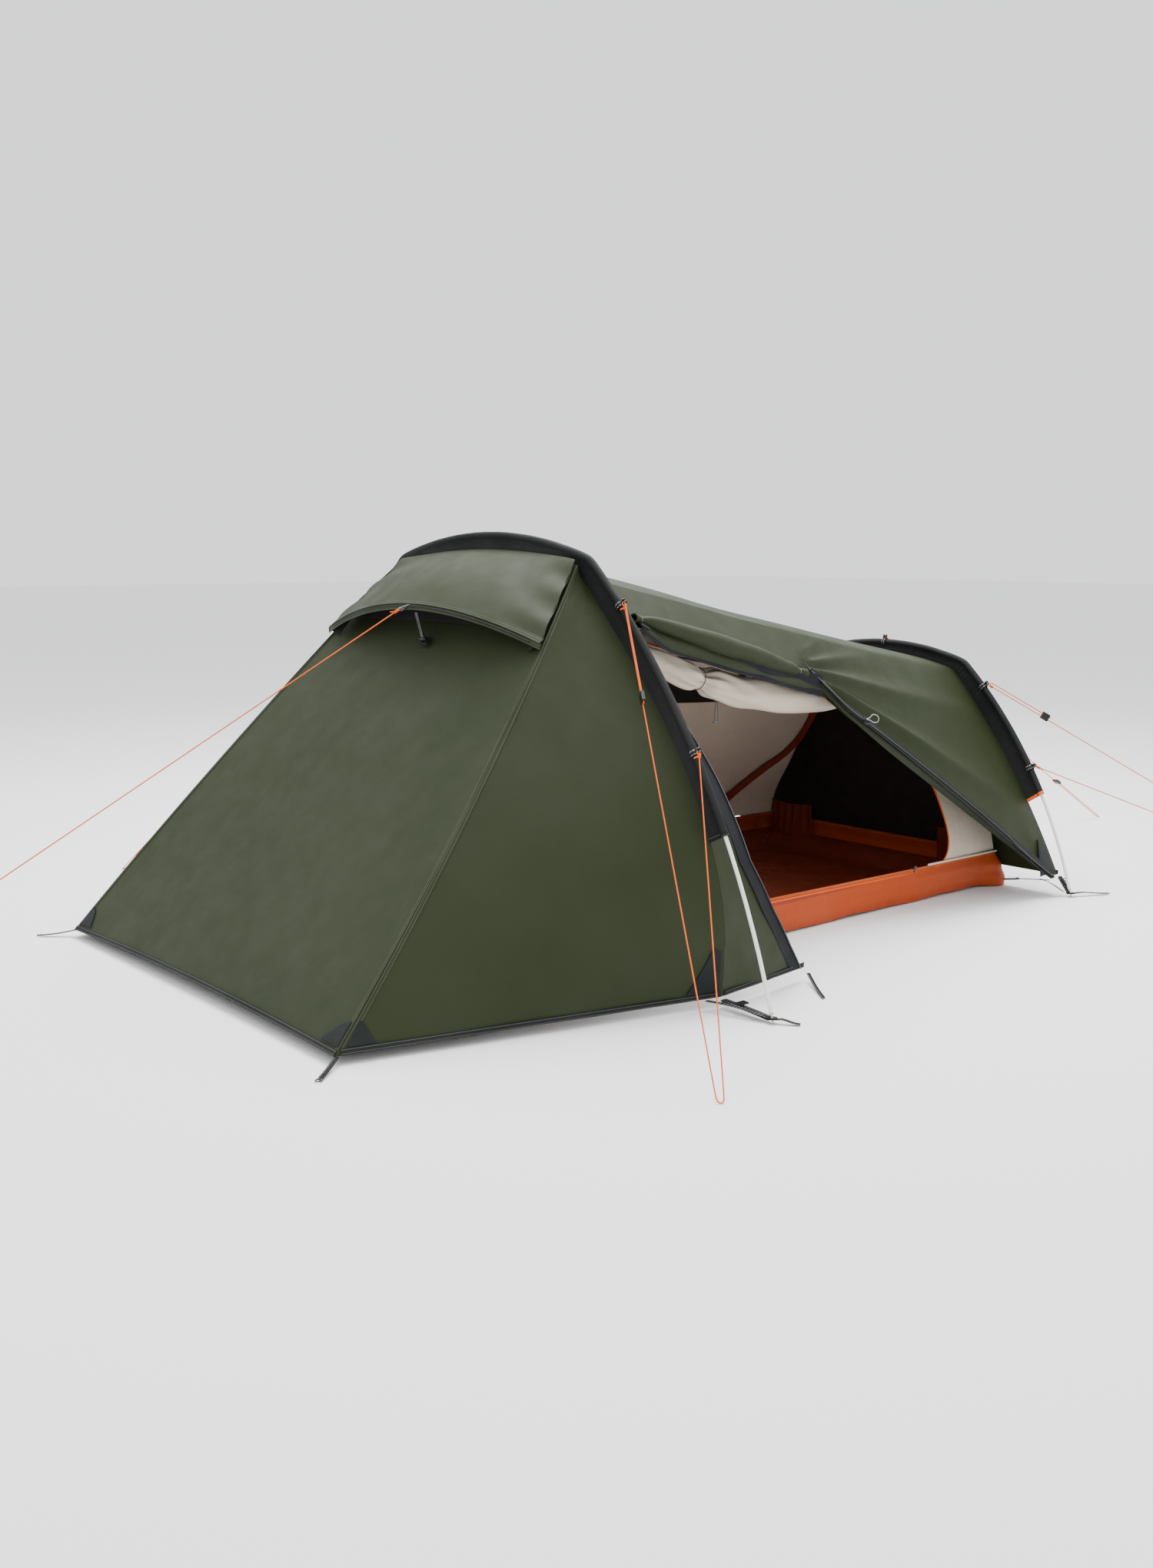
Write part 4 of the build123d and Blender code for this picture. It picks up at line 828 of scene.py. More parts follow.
class TENT_OT_guy_lines(bpy.types.Operator):
    """Strings the six guy lines from their eyes round the pegs and back to their sliders"""
    bl_idname = "tent.guy_lines"
    bl_label = "Guy lines"

    def execute(self, context):
        width = context.scene.tent_sizes.guy
        eyes = {"front_centre": (HOOD_EYE,), "rear_centre": (CROWN_EYE,)}
        for end in ("front", "rear"):
            for side, way in (("right", 1), ("left", -1)):
                upper, lower = (np.array(STRAPS[f"{end}_{part}"][1]) * (way, 1, 1) for part in ("upper", "lower"))
                eyes[f"{end}_{side}"] = (lower, upper)
        for name, route in GUY_ROUTES.items():
            line = bpy.data.curves.new(f"{name}_guy", "CURVE")
            line.dimensions = "3D"
            spline = line.splines.new("NURBS")
            spline.points.add(len(route) - 1)
            for spot, at in zip(spline.points, route):
                spot.co = (*at, 1)
            spline.order_u = 3
            spline.use_endpoint_u = True
            spline.resolution_u = 12
            line.bevel_depth = width / 2
            line.bevel_resolution = 3
            line.use_fill_caps = True
            line.materials.append(finish("guy"))
            cord = bpy.data.objects.new(f"{name}_guy", line)
            context.scene.collection.objects.link(cord)
            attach(cord, "tent")
            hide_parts(f"{name}_guy_line")
            knots = [knot(f"{name}_guy_knot", route[0], eyes[name][0], route[1])]
            if len(eyes[name]) > 1:
                knots.append(knot(f"{name}_guy_bight", route[8], eyes[name][1], route[7]))
        return {"FINISHED"}


class TENT_OT_guy_straps(bpy.types.Operator):
    """Sews a webbing loop round each sleeve for every guy line, and the loops at the hood and the rear crown"""
    bl_idname = "tent.guy_straps"
    bl_label = "Guy straps"

    def execute(self, context):
        thickness = context.scene.tent_sizes.tape
        bands = Shape()
        for centre, eye in STRAPS.values():
            for side in (1, -1):
                self.strap(bands, np.array(centre) * (side, 1, 1), np.array(eye) * (side, 1, 1), thickness)
        crown = np.array((0.0, REAR_Y, REAR_HOOP["crown"]))
        self.strap(bands, crown, np.array(CROWN_EYE), thickness)
        eye = np.array(HOOD_EYE)
        tab = np.array(((0, 0.052, 0.020), (0, 0.030, 0.0115), (0, 0.012, 0.005), (0, -0.001, 0.0015),
                        (0, -0.0085, -0.0035), (0, -0.005, -0.0095), (0, 0.004, -0.006), (0, 0.016, 0.0)))
        line = curve_through(eye + tab, 40)
        bands.tape(line, np.cross(np.gradient(line, axis=0), (1.0, 0, 0)), 0.014, 0.0012)
        bands.piece("guy_strap_loops", finish("reflective"), "black_tape", replaces=("guy_straps",))
        return {"FINISHED"}

    def strap(self, shape, centre, eye, thickness):
        out = unit(eye - centre)
        y = np.array((0.0, 1.0, 0.0))
        tangent = np.cross(out, y)
        for shift, lift in ((0.0, 0.0), (0.0, 0.0009)):
            a = np.linspace(-0.80 * math.pi, 0.80 * math.pi, 40)
            r = 0.0106 + lift
            line = centre + tangent * shift + out * (np.cos(a) * r)[:, None] + y * (np.sin(a) * r)[:, None]
            normals = unit(line - centre)
            shape.tape(line, normals, 0.0155 - lift * 4, thickness * 0.6, across=np.tile(tangent, (40, 1)))
        loop = np.array(((0.010, 0.0035), (0.014, 0.0042), (0.019, 0.0045), (0.0225, 0.003), (0.0235, 0.0),
                         (0.0225, -0.003), (0.019, -0.0045), (0.014, -0.0042), (0.010, -0.0035)))
        line = curve_through(centre + out * loop[:, :1] + y * loop[:, 1:], 44)
        shape.tape(line, np.cross(np.gradient(line, axis=0), tangent), 0.0125, 0.0011,
                   across=np.tile(tangent, (44, 1)))


# Flysheet -----------------------------------------------------------------------------------------


def hem_at(u):
    return mix(FRONT_SEAM["hem"][1], REAR_SEAM["hem"][1], u)


def panel_foot(reach):
    """The height of a side panel's lower edge: the doorway's edge, then the hem."""
    u = np.asarray(reach, float) / SPACING
    return np.maximum(top_edge(reach), hem_at(u) + 0.001)


def canopy_point(u, v):
    """The roof and both sides as one cloth: v from the right panel's lower edge over the crown to the left one's."""
    u, v = np.broadcast_arrays(np.asarray(u, float), np.asarray(v, float))
    reach = u * SPACING
    low = side_share(u, panel_foot(reach))
    third = v * 3
    right = fly_side(u, low * (1 - np.clip(third, 0, 1)), 1)
    left = fly_side(u, low * np.clip(third - 2, 0, 1), -1)
    crown = crown_of(u, 1 - 2 * np.clip(third - 1, 0, 1))
    return np.where((third < 1)[..., None], right, np.where((third > 2)[..., None], left, crown))


def pulled(p, side, depth):
    """How far the cloth stands in folds that spread from the door tie and from the hoops."""
    dy, dz = p[..., 1] - (FRONT_Y + TIE[0] - 0.03), p[..., 2] - TIE[1] - 0.01
    angle, away = np.arctan2(dz, dy), np.hypot(dy, dz)
    fan = smooth_step(-0.95, -0.55, angle) * smooth_step(0.42, 0.10, angle) * smooth_step(0.02, 0.16, away)
    ridge = 1 - 2 * np.abs(np.sin(angle * 11.5 + 0.6 * np.sin(angle * 5))) ** 0.8
    ridge = ridge + 0.40 * np.cos(angle * 41 + 1.3) * np.exp(-away / 0.30)
    out = fan * ridge * np.exp(-away / 0.85) * depth * 5.2 * smooth_step(0.28, 0.58, p[..., 0] * side)
    foot = folds(p, (REAR_Y, 0.10), 0.20, 11.0, 0.3)
    return out + foot * depth * 0.35 * (p[..., 0] * side > 0)


class TENT_OT_canopy(bpy.types.Operator):
    """Stretches the roof and both side panels over the hoops as one continuous cloth"""
    bl_idname = "tent.canopy"
    bl_label = "Canopy"

    def execute(self, context):
        sizes = context.scene.tent_sizes
        depth = sizes.fold

        def wave(p, u, v):
            free = smooth_step(0, 0.06, u) * smooth_step(0, 0.06, 1 - u)
            sag = -0.010 * np.sin(math.pi * u) ** 1.2
            return free * (sag + 0.0025 * swell(p, 4.0, 1.0) + pulled(p, 1, depth) * 0.8 + pulled(p, -1, depth) * 0.3)

        p = net(canopy_point, 120, 241, wave=wave)
        for _ in range(5):
            p[:, 1:-1] = (p[:, :-2] + 2 * p[:, 1:-1] + p[:, 2:]) / 4
        shape = Shape()
        shape.sheet(facing(p, (0, 0, 1)), sizes.cloth)
        piece = shape.piece("canopy", finish("fly"), "fly_cloth",
                            replaces=("roof_panel", "side_panel_left", "side_panel_right"))
        return {"FINISHED"}


class TENT_OT_front_strips(bpy.types.Operator):
    """Makes the narrow panel between the front hoop and the front door zip on each side"""
    bl_idname = "tent.front_strips"
    bl_label = "Front strips"

    def execute(self, context):
        sizes = context.scene.tent_sizes
        for side, name in ((1, "right"), (-1, "left")):
            t, s = np.meshgrid(np.linspace(0, 1, 90), np.linspace(0, 1, 26), indexing="ij")
            seam = mix(0.930, FRONT_SEAM["hem"][1], t)
            u = s * front_zip_reach(seam) / SPACING
            height = mix(0.930, hem_at(u) + 0.0005, t)
            p = fly_side(u, side_share(u, height), side)
            free = smooth_step(0, 0.25, s)
            p = p + normals_of(p) * (0.0035 * free * swell(p, 7.0, 3.0 + side))[..., None]
            shape = Shape()
            shape.sheet(facing(p, (side, 0, 0.4)), sizes.cloth)
            piece = shape.piece(f"front_strip_{name}", finish("fly"), "fly_cloth",
                                replaces=("front_strips",) if side > 0 else ())
        return {"FINISHED"}


def door_point(u, v, side=-1):
    """The closed door: u along it from the front zip to the rear foot, v from its upper edge to the hem."""
    reach = mix(0.034, 1.630, u)
    zip_foot = np.interp(reach, FRONT_ZIP_REACH[::-1], FRONT_ZIP_HEIGHTS[::-1])
    low = np.where(reach < FRONT_ZIP_REACH[0], np.maximum(zip_foot, hem_at(reach / SPACING)), hem_at(reach / SPACING))
    height = mix(np.maximum(top_edge(reach), low + 0.003), low, v)
    return on_side(reach, height, side)


class TENT_OT_left_door(bpy.types.Operator):
    """Hangs the closed door on the left side, between its zips and the hem"""
    bl_idname = "tent.left_door"
    bl_label = "Left door"

    def execute(self, context):
        sizes = context.scene.tent_sizes

        def wave(p, u, v):
            edge = smooth_step(0, 0.12, v) * smooth_step(0, 0.06, u)
            return (0.002 + edge * (0.007 * np.sin(math.pi * np.clip(v, 0, 1)) + 0.004 * swell(p, 6.0, 5.0))) * -1

        p = net(door_point, 150, 60)
        p = facing(p, (-1, 0, 0.3))
        u, v = np.meshgrid(np.linspace(0, 1, 150), np.linspace(0, 1, 60), indexing="ij")
        p = p - normals_of(p) * wave(p, u, v)[..., None]
        shape = Shape()
        shape.sheet(p, sizes.cloth)
        piece = shape.piece("left_door_cloth", finish("fly"), "fly_cloth", replaces=("left_door",))
        return {"FINISHED"}


class TENT_OT_nose(bpy.types.Operator):
    """Makes the sloping front panel and the two nose panels beside it"""
    bl_idname = "tent.nose"
    bl_label = "Nose"

    def execute(self, context):
        sizes = context.scene.tent_sizes

        def front_wave(p, u, v):
            free = np.sin(math.pi * np.clip(v, 0, 1)) * smooth_step(0, 0.08, u)
            return free * (-0.006 * np.sin(math.pi * u) + 0.0022 * swell(p, 5.0, 7.0))

        shape = Shape()
        shape.sheet(facing(net(nose_panel, 90, 80, wave=front_wave), (0, -1, 1)), sizes.cloth)
        piece = shape.piece("nose_panel_front", finish("fly"), "fly_cloth", replaces=("nose_front_panel",))
        for side, name in ((1, "right"), (-1, "left")):

            def side_wave(p, u, v):
                free = np.sin(math.pi * np.clip(u, 0, 1)) * smooth_step(0, 0.10, v)
                return free * (0.005 * np.sin(math.pi * v) + 0.003 * swell(p, 5.5, 9.0 + side)
                               + 0.004 * folds(p, (FRONT_Y - 0.02, 0.05), 0.22, 10, 0.4)
                               + 0.003 * folds(p, (NOSE_Y, 0.03), 0.20, 12, 1.0)) * side
            p = facing(net(lambda u, v: nose_side(u, v, side), 80, 90), (side, -0.4, 0.3))
            q = net(lambda u, v: nose_side(u, v, side), 80, 90, wave=lambda p, u, v: side_wave(p, u, v) * 0.8)
            shape = Shape()
            shape.sheet(q if np.allclose(p[:, 0], q[:, 0], atol=0.02) else q[:, ::-1], sizes.cloth)
            piece = shape.piece(f"nose_panel_{name}", finish("fly"), "fly_cloth", replaces=(f"nose_side_{name}",))
        return {"FINISHED"}


class TENT_OT_rear_end(bpy.types.Operator):
    """Closes the rear hoop with its upright end panel"""
    bl_idname = "tent.rear_end"
    bl_label = "Rear end"

    def execute(self, context):
        sizes = context.scene.tent_sizes
        side = seam_side(REAR_SEAM, np.linspace(0, 1, 200))
        across = np.concatenate([np.linspace(0, REAR_SEAM["shoulder"][0], 60, endpoint=False), side[:, 0]])
        drop = REAR_SEAM["crown"] - REAR_SEAM["shoulder"][1]
        high = np.concatenate([REAR_SEAM["crown"] - drop * (across[:60] / REAR_SEAM["shoulder"][0]) ** 2, side[:, 1]])

        def end(u, v):
            x = (1 - 2 * v) * REAR_SEAM["hem"][0]
            top = np.interp(np.abs(x), across, high)
            return stack(x, np.full(np.shape(x), REAR_Y - 0.001), mix(top, REAR_SEAM["hem"][1], u))

        def wave(p, u, v):
            free = smooth_step(0, 0.15, u) * np.sin(math.pi * v)
            return free * (0.006 * swell(p, 5.0, 2.0) + 0.004 * folds(p[..., [1, 0, 2]], (0.70, 0.07), 0.3, 9))

        shape = Shape()
        shape.sheet(facing(net(end, 60, 120, wave=wave), (0, 1, 0)), sizes.cloth)
        piece = shape.piece("rear_end_cloth", finish("fly"), "fly_cloth", replaces=("rear_end_panel",))
        return {"FINISHED"}


def along(points_of, count=160):
    """A line on a surface and its normals: points_of(t, step) gives points, step moves across the surface."""
    t = np.linspace(0, 1, count)
    line = points_of(t, 0.0)
    way, across = np.gradient(line, axis=0), points_of(t, 1.0) - line
    return line, unit(np.cross(way, across))


def lay_tape(shape, points_of, outward, width, thickness, lift=0.0016, crown=0.0, count=160):
    line, normals = along(points_of, count)
    if (normals.mean(0) @ np.asarray(outward, float)) < 0:
        normals = -normals
    shape.tape(line + normals * lift, normals, width, thickness, crown)


class TENT_OT_hems(bpy.types.Operator):
    """Binds every lower edge of the flysheet and seams the nose"""
    bl_idname = "tent.hems"
    bl_label = "Hems and seams"

    def execute(self, context):
        sizes = context.scene.tent_sizes
        wide, thick = sizes.hem, sizes.tape
        hems = Shape()
        lay_tape(hems, lambda t, s: nose_panel(np.full_like(t, 0.995 - 0.02 * s), t), (0, -1, 1), wide, thick, 0.003)
        for side in (1, -1):
            lay_tape(hems, lambda t, s: nose_side(0.01 + 0.98 * t, np.full_like(t, 0.993 - 0.02 * s), side),
                     (side, -0.2, 0), wide, thick, 0.003)
            lay_tape(hems, lambda t, s: fly_side(0.005 + 0.19 * t, np.full_like(t, 0.993 - 0.02 * s), side),
                     (side, 0, 0), wide, thick, 0.003, count=50)
        lay_tape(hems, lambda t, s: fly_side(0.20 + 0.79 * t, np.full_like(t, 0.993 - 0.02 * s), -1), (-1, 0, 0),
                 wide, thick, 0.004)
        lay_tape(hems, lambda t, s: stack(REAR_SEAM["hem"][0] * (1 - 2 * t), REAR_Y + 0 * t,
                                          REAR_SEAM["hem"][1] + 0.007 + 0.02 * s), (0, 1, 0), wide, thick, 0.003)
        hems.piece("bound_hems", finish("tape"), "black_tape", replaces=("hem_binding",))
        seams = Shape()
        for side in (1, -1):
            lay_tape(seams, lambda t, s: nose_side(np.full_like(t, 0.012 + 0.02 * s), 0.01 + 0.98 * t, side),
                     (side, -0.4, 0.4), 0.012, 0.0007, 0.0012)
            lay_tape(seams, lambda t, s: nose_panel(0.01 + 0.98 * t, 0.5 + side * (0.4965 - 0.01 * s)),
                     (0, -1, 1), 0.011, 0.0007, 0.0012)
        seams.piece("nose_seam_tape", finish("fly_seam"), "fly_cloth")
        return {"FINISHED"}


class TENT_OT_patches(bpy.types.Operator):
    """Reinforces the corners where the tent is pegged"""
    bl_idname = "tent.patches"
    bl_label = "Corner patches"

    def execute(self, context):
        shape = Shape()

        def cover(surface, corners, outward, lift=0.0026):
            (a, b, c, d) = (np.array(q, float) for q in corners)
            s, t = np.meshgrid(np.linspace(0, 1, 16), np.linspace(0, 1, 16), indexing="ij")
            top, low = mix(a, b, s[..., None]), mix(d, c, s[..., None])
            q = mix(top, low, t[..., None])
            p = facing(surface(q[..., 0], q[..., 1]), outward)
            edge = np.minimum(np.minimum(s, 1 - s), np.minimum(t, 1 - t))
            p = p + normals_of(p) * (lift + 0.0012 * smooth_step(0, 0.12, edge))[..., None]
            shape.sheet(p, 0.0012)

        for side in (1, -1):
            nose = lambda u, v: nose_side(u, v, side)
            fly = lambda u, v: fly_side(u, v, side)
            cover(nose, ((0.014, 0.938), (0.020, 0.938), (0.088, 0.985), (0.014, 0.985)), (side, -1, 0))
            cover(nose, ((0.965, 0.895), (0.988, 0.905), (0.988, 0.985), (0.895, 0.985)), (side, 0, 0))
            cover(fly, ((0.972, 0.84), (0.992, 0.84), (0.992, 0.985), (0.935, 0.985)), (side, 0, 0))
            outer = 0.5 + side * 0.496
            cover(nose_panel, ((0.940, outer), (0.950, 0.5 + side * 0.475), (0.985, 0.5 + side * 0.445), (0.985, outer)),
                  (0, -1, 0.5))
        shape.piece("corner_reinforcements", finish("patch"), "patch_cloth", replaces=("corner_patches",))
        return {"FINISHED"}


# Side doors' zips ---------------------------------------------------------------------------------

ZIP_ARC = ((0.540, FRONT_Y + 0.852, 0.598), (0.622, FRONT_Y + 1.1385, 0.394), (0.677, FRONT_Y + 1.425, 0.190))
ZIP_OUT = unit(np.array((1.0, 0.2, 0.55))) * 0.0105


def circle_through(a, m, b, shares):
    """Points on the circle through three points in space, at these shares of the way."""
    a, m, b = (np.asarray(p, float) for p in (a, m, b))
    x = unit(b - a)
    z = unit(np.cross(x, m - a))
    y = np.cross(z, x)
    flat = [((p - a) @ x, (p - a) @ y) for p in (a, m, b)]
    line = arc_through(*flat, 401)
    q = np.stack([np.interp(shares, np.linspace(0, 1, 401), line[:, i]) for i in range(2)], 1)
    return a + q[:, :1] * x + q[:, 1:] * y


def rear_zip(side, count=150):
    """The rear door zip: the coil's line and the panel's edge below it."""
    reach = np.linspace(TIE[0] + 0.012, 1.618, count)
    edge = on_side(reach, panel_foot(reach), side)
    share = (reach - 0.852) / (1.425 - 0.852)
    arc = circle_through(*ZIP_ARC, np.clip(share, 0, 1)) + ZIP_OUT
    arc = arc * (side, 1, 1)
    inside = ((share > 0) & (share < 1)).astype(float)
    blend_in = smooth_step(-0.16, 0.0, share) * smooth_step(-0.16, 0.0, 1 - share) * 1.0
    lift = np.array((side * 0.006, 0.001, 0.004))
    coil = np.where(inside[:, None] > 0, arc, edge + lift + (ZIP_OUT * (side, 1, 1) - lift) * blend_in[:, None])
    return soften(coil, 6), edge


class TENT_OT_zips(bpy.types.Operator):
    """Sews the zip tapes and coils along the side doorways"""
    bl_idname = "tent.zips"
    bl_label = "Door zips"

    def execute(self, context):
        wide = context.scene.tent_sizes.zip_width
        tapes, coils, binding = Shape(), Shape(), Shape()
        for side in (1, -1):
            coil, edge = rear_zip(side)
            reach = np.linspace(TIE[0] + 0.012, 1.618, len(edge))
            above = on_side(reach, np.minimum(panel_foot(reach) + wide, 0.9), side)
            out = np.array((side * 0.0032, 0.0003, 0.0016))
            rows = np.stack([above + out, mix(above, edge, 0.35) + out * 1.2, mix(above, edge, 0.72) + out * 1.7,
                             mix(edge, coil, 0.45) + out * 0.8, mix(edge, coil, 0.86), coil])
            tapes.sheet(facing(resample_rows(rows, 12), (side, 0, 0.5)), 0.0011)
            coils.tube(coil, 0.0019, sides=8, ends=True, up=(side, 0, 0.5))
            ruffle = edge - np.array((0, 0, 0.002)) + out * 0.6
            normals = np.tile(unit(np.array((side, 0.2, 0.5))), (len(edge), 1))
            binding.tape(ruffle, normals, 0.011, 0.0014)
            height = np.linspace(0.905, 0.030, 150)
            line = on_side(front_zip_reach(height), height, side)
            back = on_side(np.maximum(front_zip_reach(height) - wide, 0.002), height, side)
            out = np.array((side * 0.0030, 0.0, 0.0014))
            ahead = line + np.array((0, 0.007 if side > 0 else 0.004, 0))
            rows = np.stack([back + out * 0.8, mix(back, line, 0.4) + out, mix(back, line, 0.8) + out * 1.3, ahead + out])
            tapes.sheet(facing(resample_rows(rows, 8), (side, 0, 0.3)), 0.0011)
            coils.tube(ahead + out * 1.5, 0.0019, sides=8, up=(side, 0, 0.5))
        tapes.piece("zip_tapes", finish("zip"), "zip_black", replaces=("door_zip_tracks",))
        coils.piece("zip_coils", finish("coil"), "zip_black")
        binding.piece("doorway_binding", finish("tape"), "black_tape")
        pulls = Shape()
        for side in (1, -1):
            low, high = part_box("right_door_zip_slider" if side > 0 else "left_door_zip_slider")
            top = (np.array(low) + np.array(high)) / 2 + np.array((side * 0.006, -0.004, 0.006))
            spots = top + np.array(((0, 0, 0.0), (side * 0.003, 0.010, 0.003), (side * 0.006, 0.016, 0.011),
                                    (side * 0.006, 0.030, 0.010), (side * 0.007, 0.040, 0.004),
                                    (side * 0.007, 0.043, -0.006), (side * 0.006, 0.036, -0.012),
                                    (side * 0.006, 0.020, -0.010), (side * 0.003, 0.010, -0.004), (0, 0.001, -0.002)))
            pulls.tube(soften(curve_through(spots, 60), 2), 0.0013, sides=8, up=(side, 0, 0.2))
            piece = pulls.piece(f"zip_pull_loop_{'right' if side > 0 else 'left'}", finish("loop"), "elastic_cord",
                                body="right_door_zip" if side > 0 else "left_door_zip")
            pulls = Shape()
        del piece
        return {"FINISHED"}


def resample_rows(rows, count):
    """Fills in a net between a few of its rows with smooth ones."""
    rows = np.asarray(rows, float)
    t = np.linspace(0, len(rows) - 1, count)
    i = np.clip(t.astype(int), 0, len(rows) - 2)
    share = (t - i)[:, None, None]
    return rows[i] * (1 - share) + rows[i + 1] * share


# Rolled outer door --------------------------------------------------------------------------------

ROLL_POINTS = ((0.550, FRONT_Y + 0.030, 0.890), (0.530, FRONT_Y + 0.213, 0.8465), (0.512, FRONT_Y + 0.390, 0.800),
               (0.487, FRONT_Y + 0.562, 0.756), (0.462, FRONT_Y + 0.742, 0.712))
ROLL_RADII = (0.013, 0.027, 0.033, 0.029, 0.016)


class TENT_OT_rolled_door(bpy.types.Operator):
    """Rolls the right door up under the edge of the roof, with its slack flap"""
    bl_idname = "tent.rolled_door"
    bl_label = "Rolled door"

    def execute(self, context):
        line = curve_through(ROLL_POINTS, 130)
        t = np.linspace(0, 1, 130)
        radius = np.interp(t, np.linspace(0, 1, 5), ROLL_RADII)
        pinch = 1 - 0.42 * np.exp(-((t - 0.035) / 0.028) ** 2) - 0.45 * np.exp(-((t - 0.955) / 0.028) ** 2)
        radius = radius * pinch
        way = unit(np.gradient(line, axis=0))
        side = unit(np.cross(way, (0, 0, 1.0)))
        above = np.cross(side, way)
        turns = np.linspace(0.0, math.tau * 2.35, 150)
        a = turns[None, :] + 0.9 + 0.25 * np.sin(5 * t)[:, None]
        spiral = 1 - 0.115 * turns[::-1][None, :] / math.tau
        lump = 1 + 0.05 * np.sin(9 * t[:, None] + 1.5 * a) + 0.035 * np.sin(23 * t[:, None] - 2.0 * a + 1.0)
        r = radius[:, None] * spiral * lump
        p = line[:, None] + side[:, None] * (np.cos(a) * r)[..., None] + above[:, None] * (np.sin(a) * r * 0.9)[..., None]
        reach = np.clip(line[:, 1] - FRONT_Y, 0.03, 0.75)
        edge = on_side(reach, top_edge(reach) + 0.004, 1) + np.array((0.001, 0, -0.001))
        lead = [mix(p[:, -1], edge, s) + np.array((0.004 * math.sin(math.pi * s), 0, 0)) for s in (0.2, 0.4, 0.6, 0.8, 1.0)]
        p = np.concatenate([p, np.stack(lead, 1)], 1)
        shape = Shape()
        shape.sheet(p[:, ::-1], 0.0012)
        roll = shape.piece("rolled_door_cloth", finish("fly"), "fly_cloth", replaces=("rolled_door",), sharp=50)
        flap = Shape()
        spots = np.array(((-0.345, 0.880, 0.862), (-0.255, 0.850, 0.806), (-0.130, 0.820, 0.778), (0.0, 0.786, 0.742),
                          (0.20, 0.728, 0.700), (0.40, 0.692, 0.652)))
        s = np.linspace(0, 1, 110)
        rows = [np.interp(s, np.linspace(0, 1, 6), spots[:, i]) for i in range(3)]
        rows = np.stack(rows, 1)
        rows = soften(rows, 40)
        top = stack(np.interp(rows[:, 0], line[:, 1], line[:, 0]) + 0.006, rows[:, 0], rows[:, 1])
        low = stack(top[:, 0] + 0.010 + 0.003 * np.sin(rows[:, 0] * 17), rows[:, 0] + 0.004, rows[:, 2])
        v = np.linspace(0, 1, 16)
        p = mix(top[:, None], low[:, None], v[None, :, None])
        p[..., 0] += 0.010 * np.sin(math.pi * v)[None, :] + 0.0022 * np.sin(p[..., 1] * 29 + v[None, :] * 2)
        p = facing(p, (1, 0, 0))
        flap.sheet(p, 0.0009)
        cloth = flap.piece("door_slack_flap", finish("fly"), "fly_cloth")
        edge_tape = Shape()
        edging = p[:, -1] if p[:, -1, 2].mean() < p[:, 0, 2].mean() else p[:, 0]
        normals = np.tile((1.0, 0.0, 0.15), (len(edging), 1))
        band = 0.024 + 0.036 * smooth_step(0.35, 1.0, np.linspace(1, 0, len(edging)) if edging[0, 1] > edging[-1, 1]
                                            else np.linspace(0, 1, len(edging)))
        edge_tape.tape(edging + stack(0.0016 + 0 * band, 0 * band, band / 2 - 0.004), normals, band, 0.0014)
        edge_tape.piece("door_flap_edge", finish("zip"), "zip_black")
        ties = Shape()
        for share, grow in ((0.035, 1.10), (0.955, 1.12)):
            k = int(share * 129)
            a = np.linspace(0, math.tau, 40)
            ring = line[k] + (side[k] * np.cos(a)[:, None] + above[k] * np.sin(a)[:, None] * 0.9) * radius[k] * grow
            ties.tube(ring, 0.0014, sides=8, ends=False, up=way[k])
        ties.piece("door_tie_elastics", finish("elastic_dark"), "elastic_cord")
        return {"FINISHED"}


# Sleeves ------------------------------------------------------------------------------------------


def sleeve_net(hoop, seam, radius):
    """Loops round a sleeve: the tunnel over the pole and the web down to the flysheet's seam."""
    line = hoop_line(hoop, 700)
    line = resample(line[line[:, 1] >= hoop["sleeve_foot"]], 420)
    side = seam_side(seam, np.linspace(1, 0, 300))
    crown = arc_through(seam["shoulder"], (0, seam["crown"]), (-seam["shoulder"][0], seam["shoulder"][1]), 200)
    edge = np.vstack([side[:-1], crown, (side * (-1, 1))[::-1][1:]])
    near = edge[np.argmin(np.linalg.norm(line[:, None] - edge[None], axis=2), axis=1)]
    near = soften(near, 30)
    gap = near - line
    length = np.linalg.norm(gap, axis=1)
    toward = gap / length[:, None]
    c = stack(line[:, 0], hoop["y"] + 0 * line[:, 0], line[:, 1])
    f = stack(toward[:, 0], 0 * line[:, 0], toward[:, 1])
    run = np.concatenate([[0], np.cumsum(np.linalg.norm(np.diff(line, axis=0), axis=1))])
    bend = np.exp(-((np.abs(line[:, 0]) - hoop["shoulder"][0]) / 0.11) ** 2)
    gather = bend * np.sin(run * 420) + 0.35 * np.sin(run * 61) + 0.25 * np.sin(run * 143 + 1)
    a = np.radians(np.linspace(-128, 128, 23))
    r = radius * (1 + 0.025 * gather[:, None] * np.cos(a * 2)[None, :])
    round_part = c[:, None] - f[:, None] * (np.cos(a) * r)[..., None]
    round_part[..., 1] += np.sin(a) * r
    fin = []
    for share in (0.0, 0.33, 0.66, 1.0):
        d = mix(radius * 1.35, length + 0.004, share)
        fin.append((d, 0.0016 + 0.0016 * (1 - share)))
    wave = 0.0013 * gather
    right = [stack(*(c + f * d[:, None]).T) + stack(0 * d, half + wave * (0.3 + share), 0 * d)
             for (d, half), share in zip(fin, (0.0, 0.33, 0.66, 0.3))]
    left = [stack(*(c + f * d[:, None]).T) + stack(0 * d, -half + wave * (0.3 + share), 0 * d)
            for (d, half), share in zip(fin, (0.0, 0.33, 0.66, 0.3))]
    return np.concatenate([round_part, np.stack(right, 1), np.stack(left[::-1], 1)], 1), c, f, length


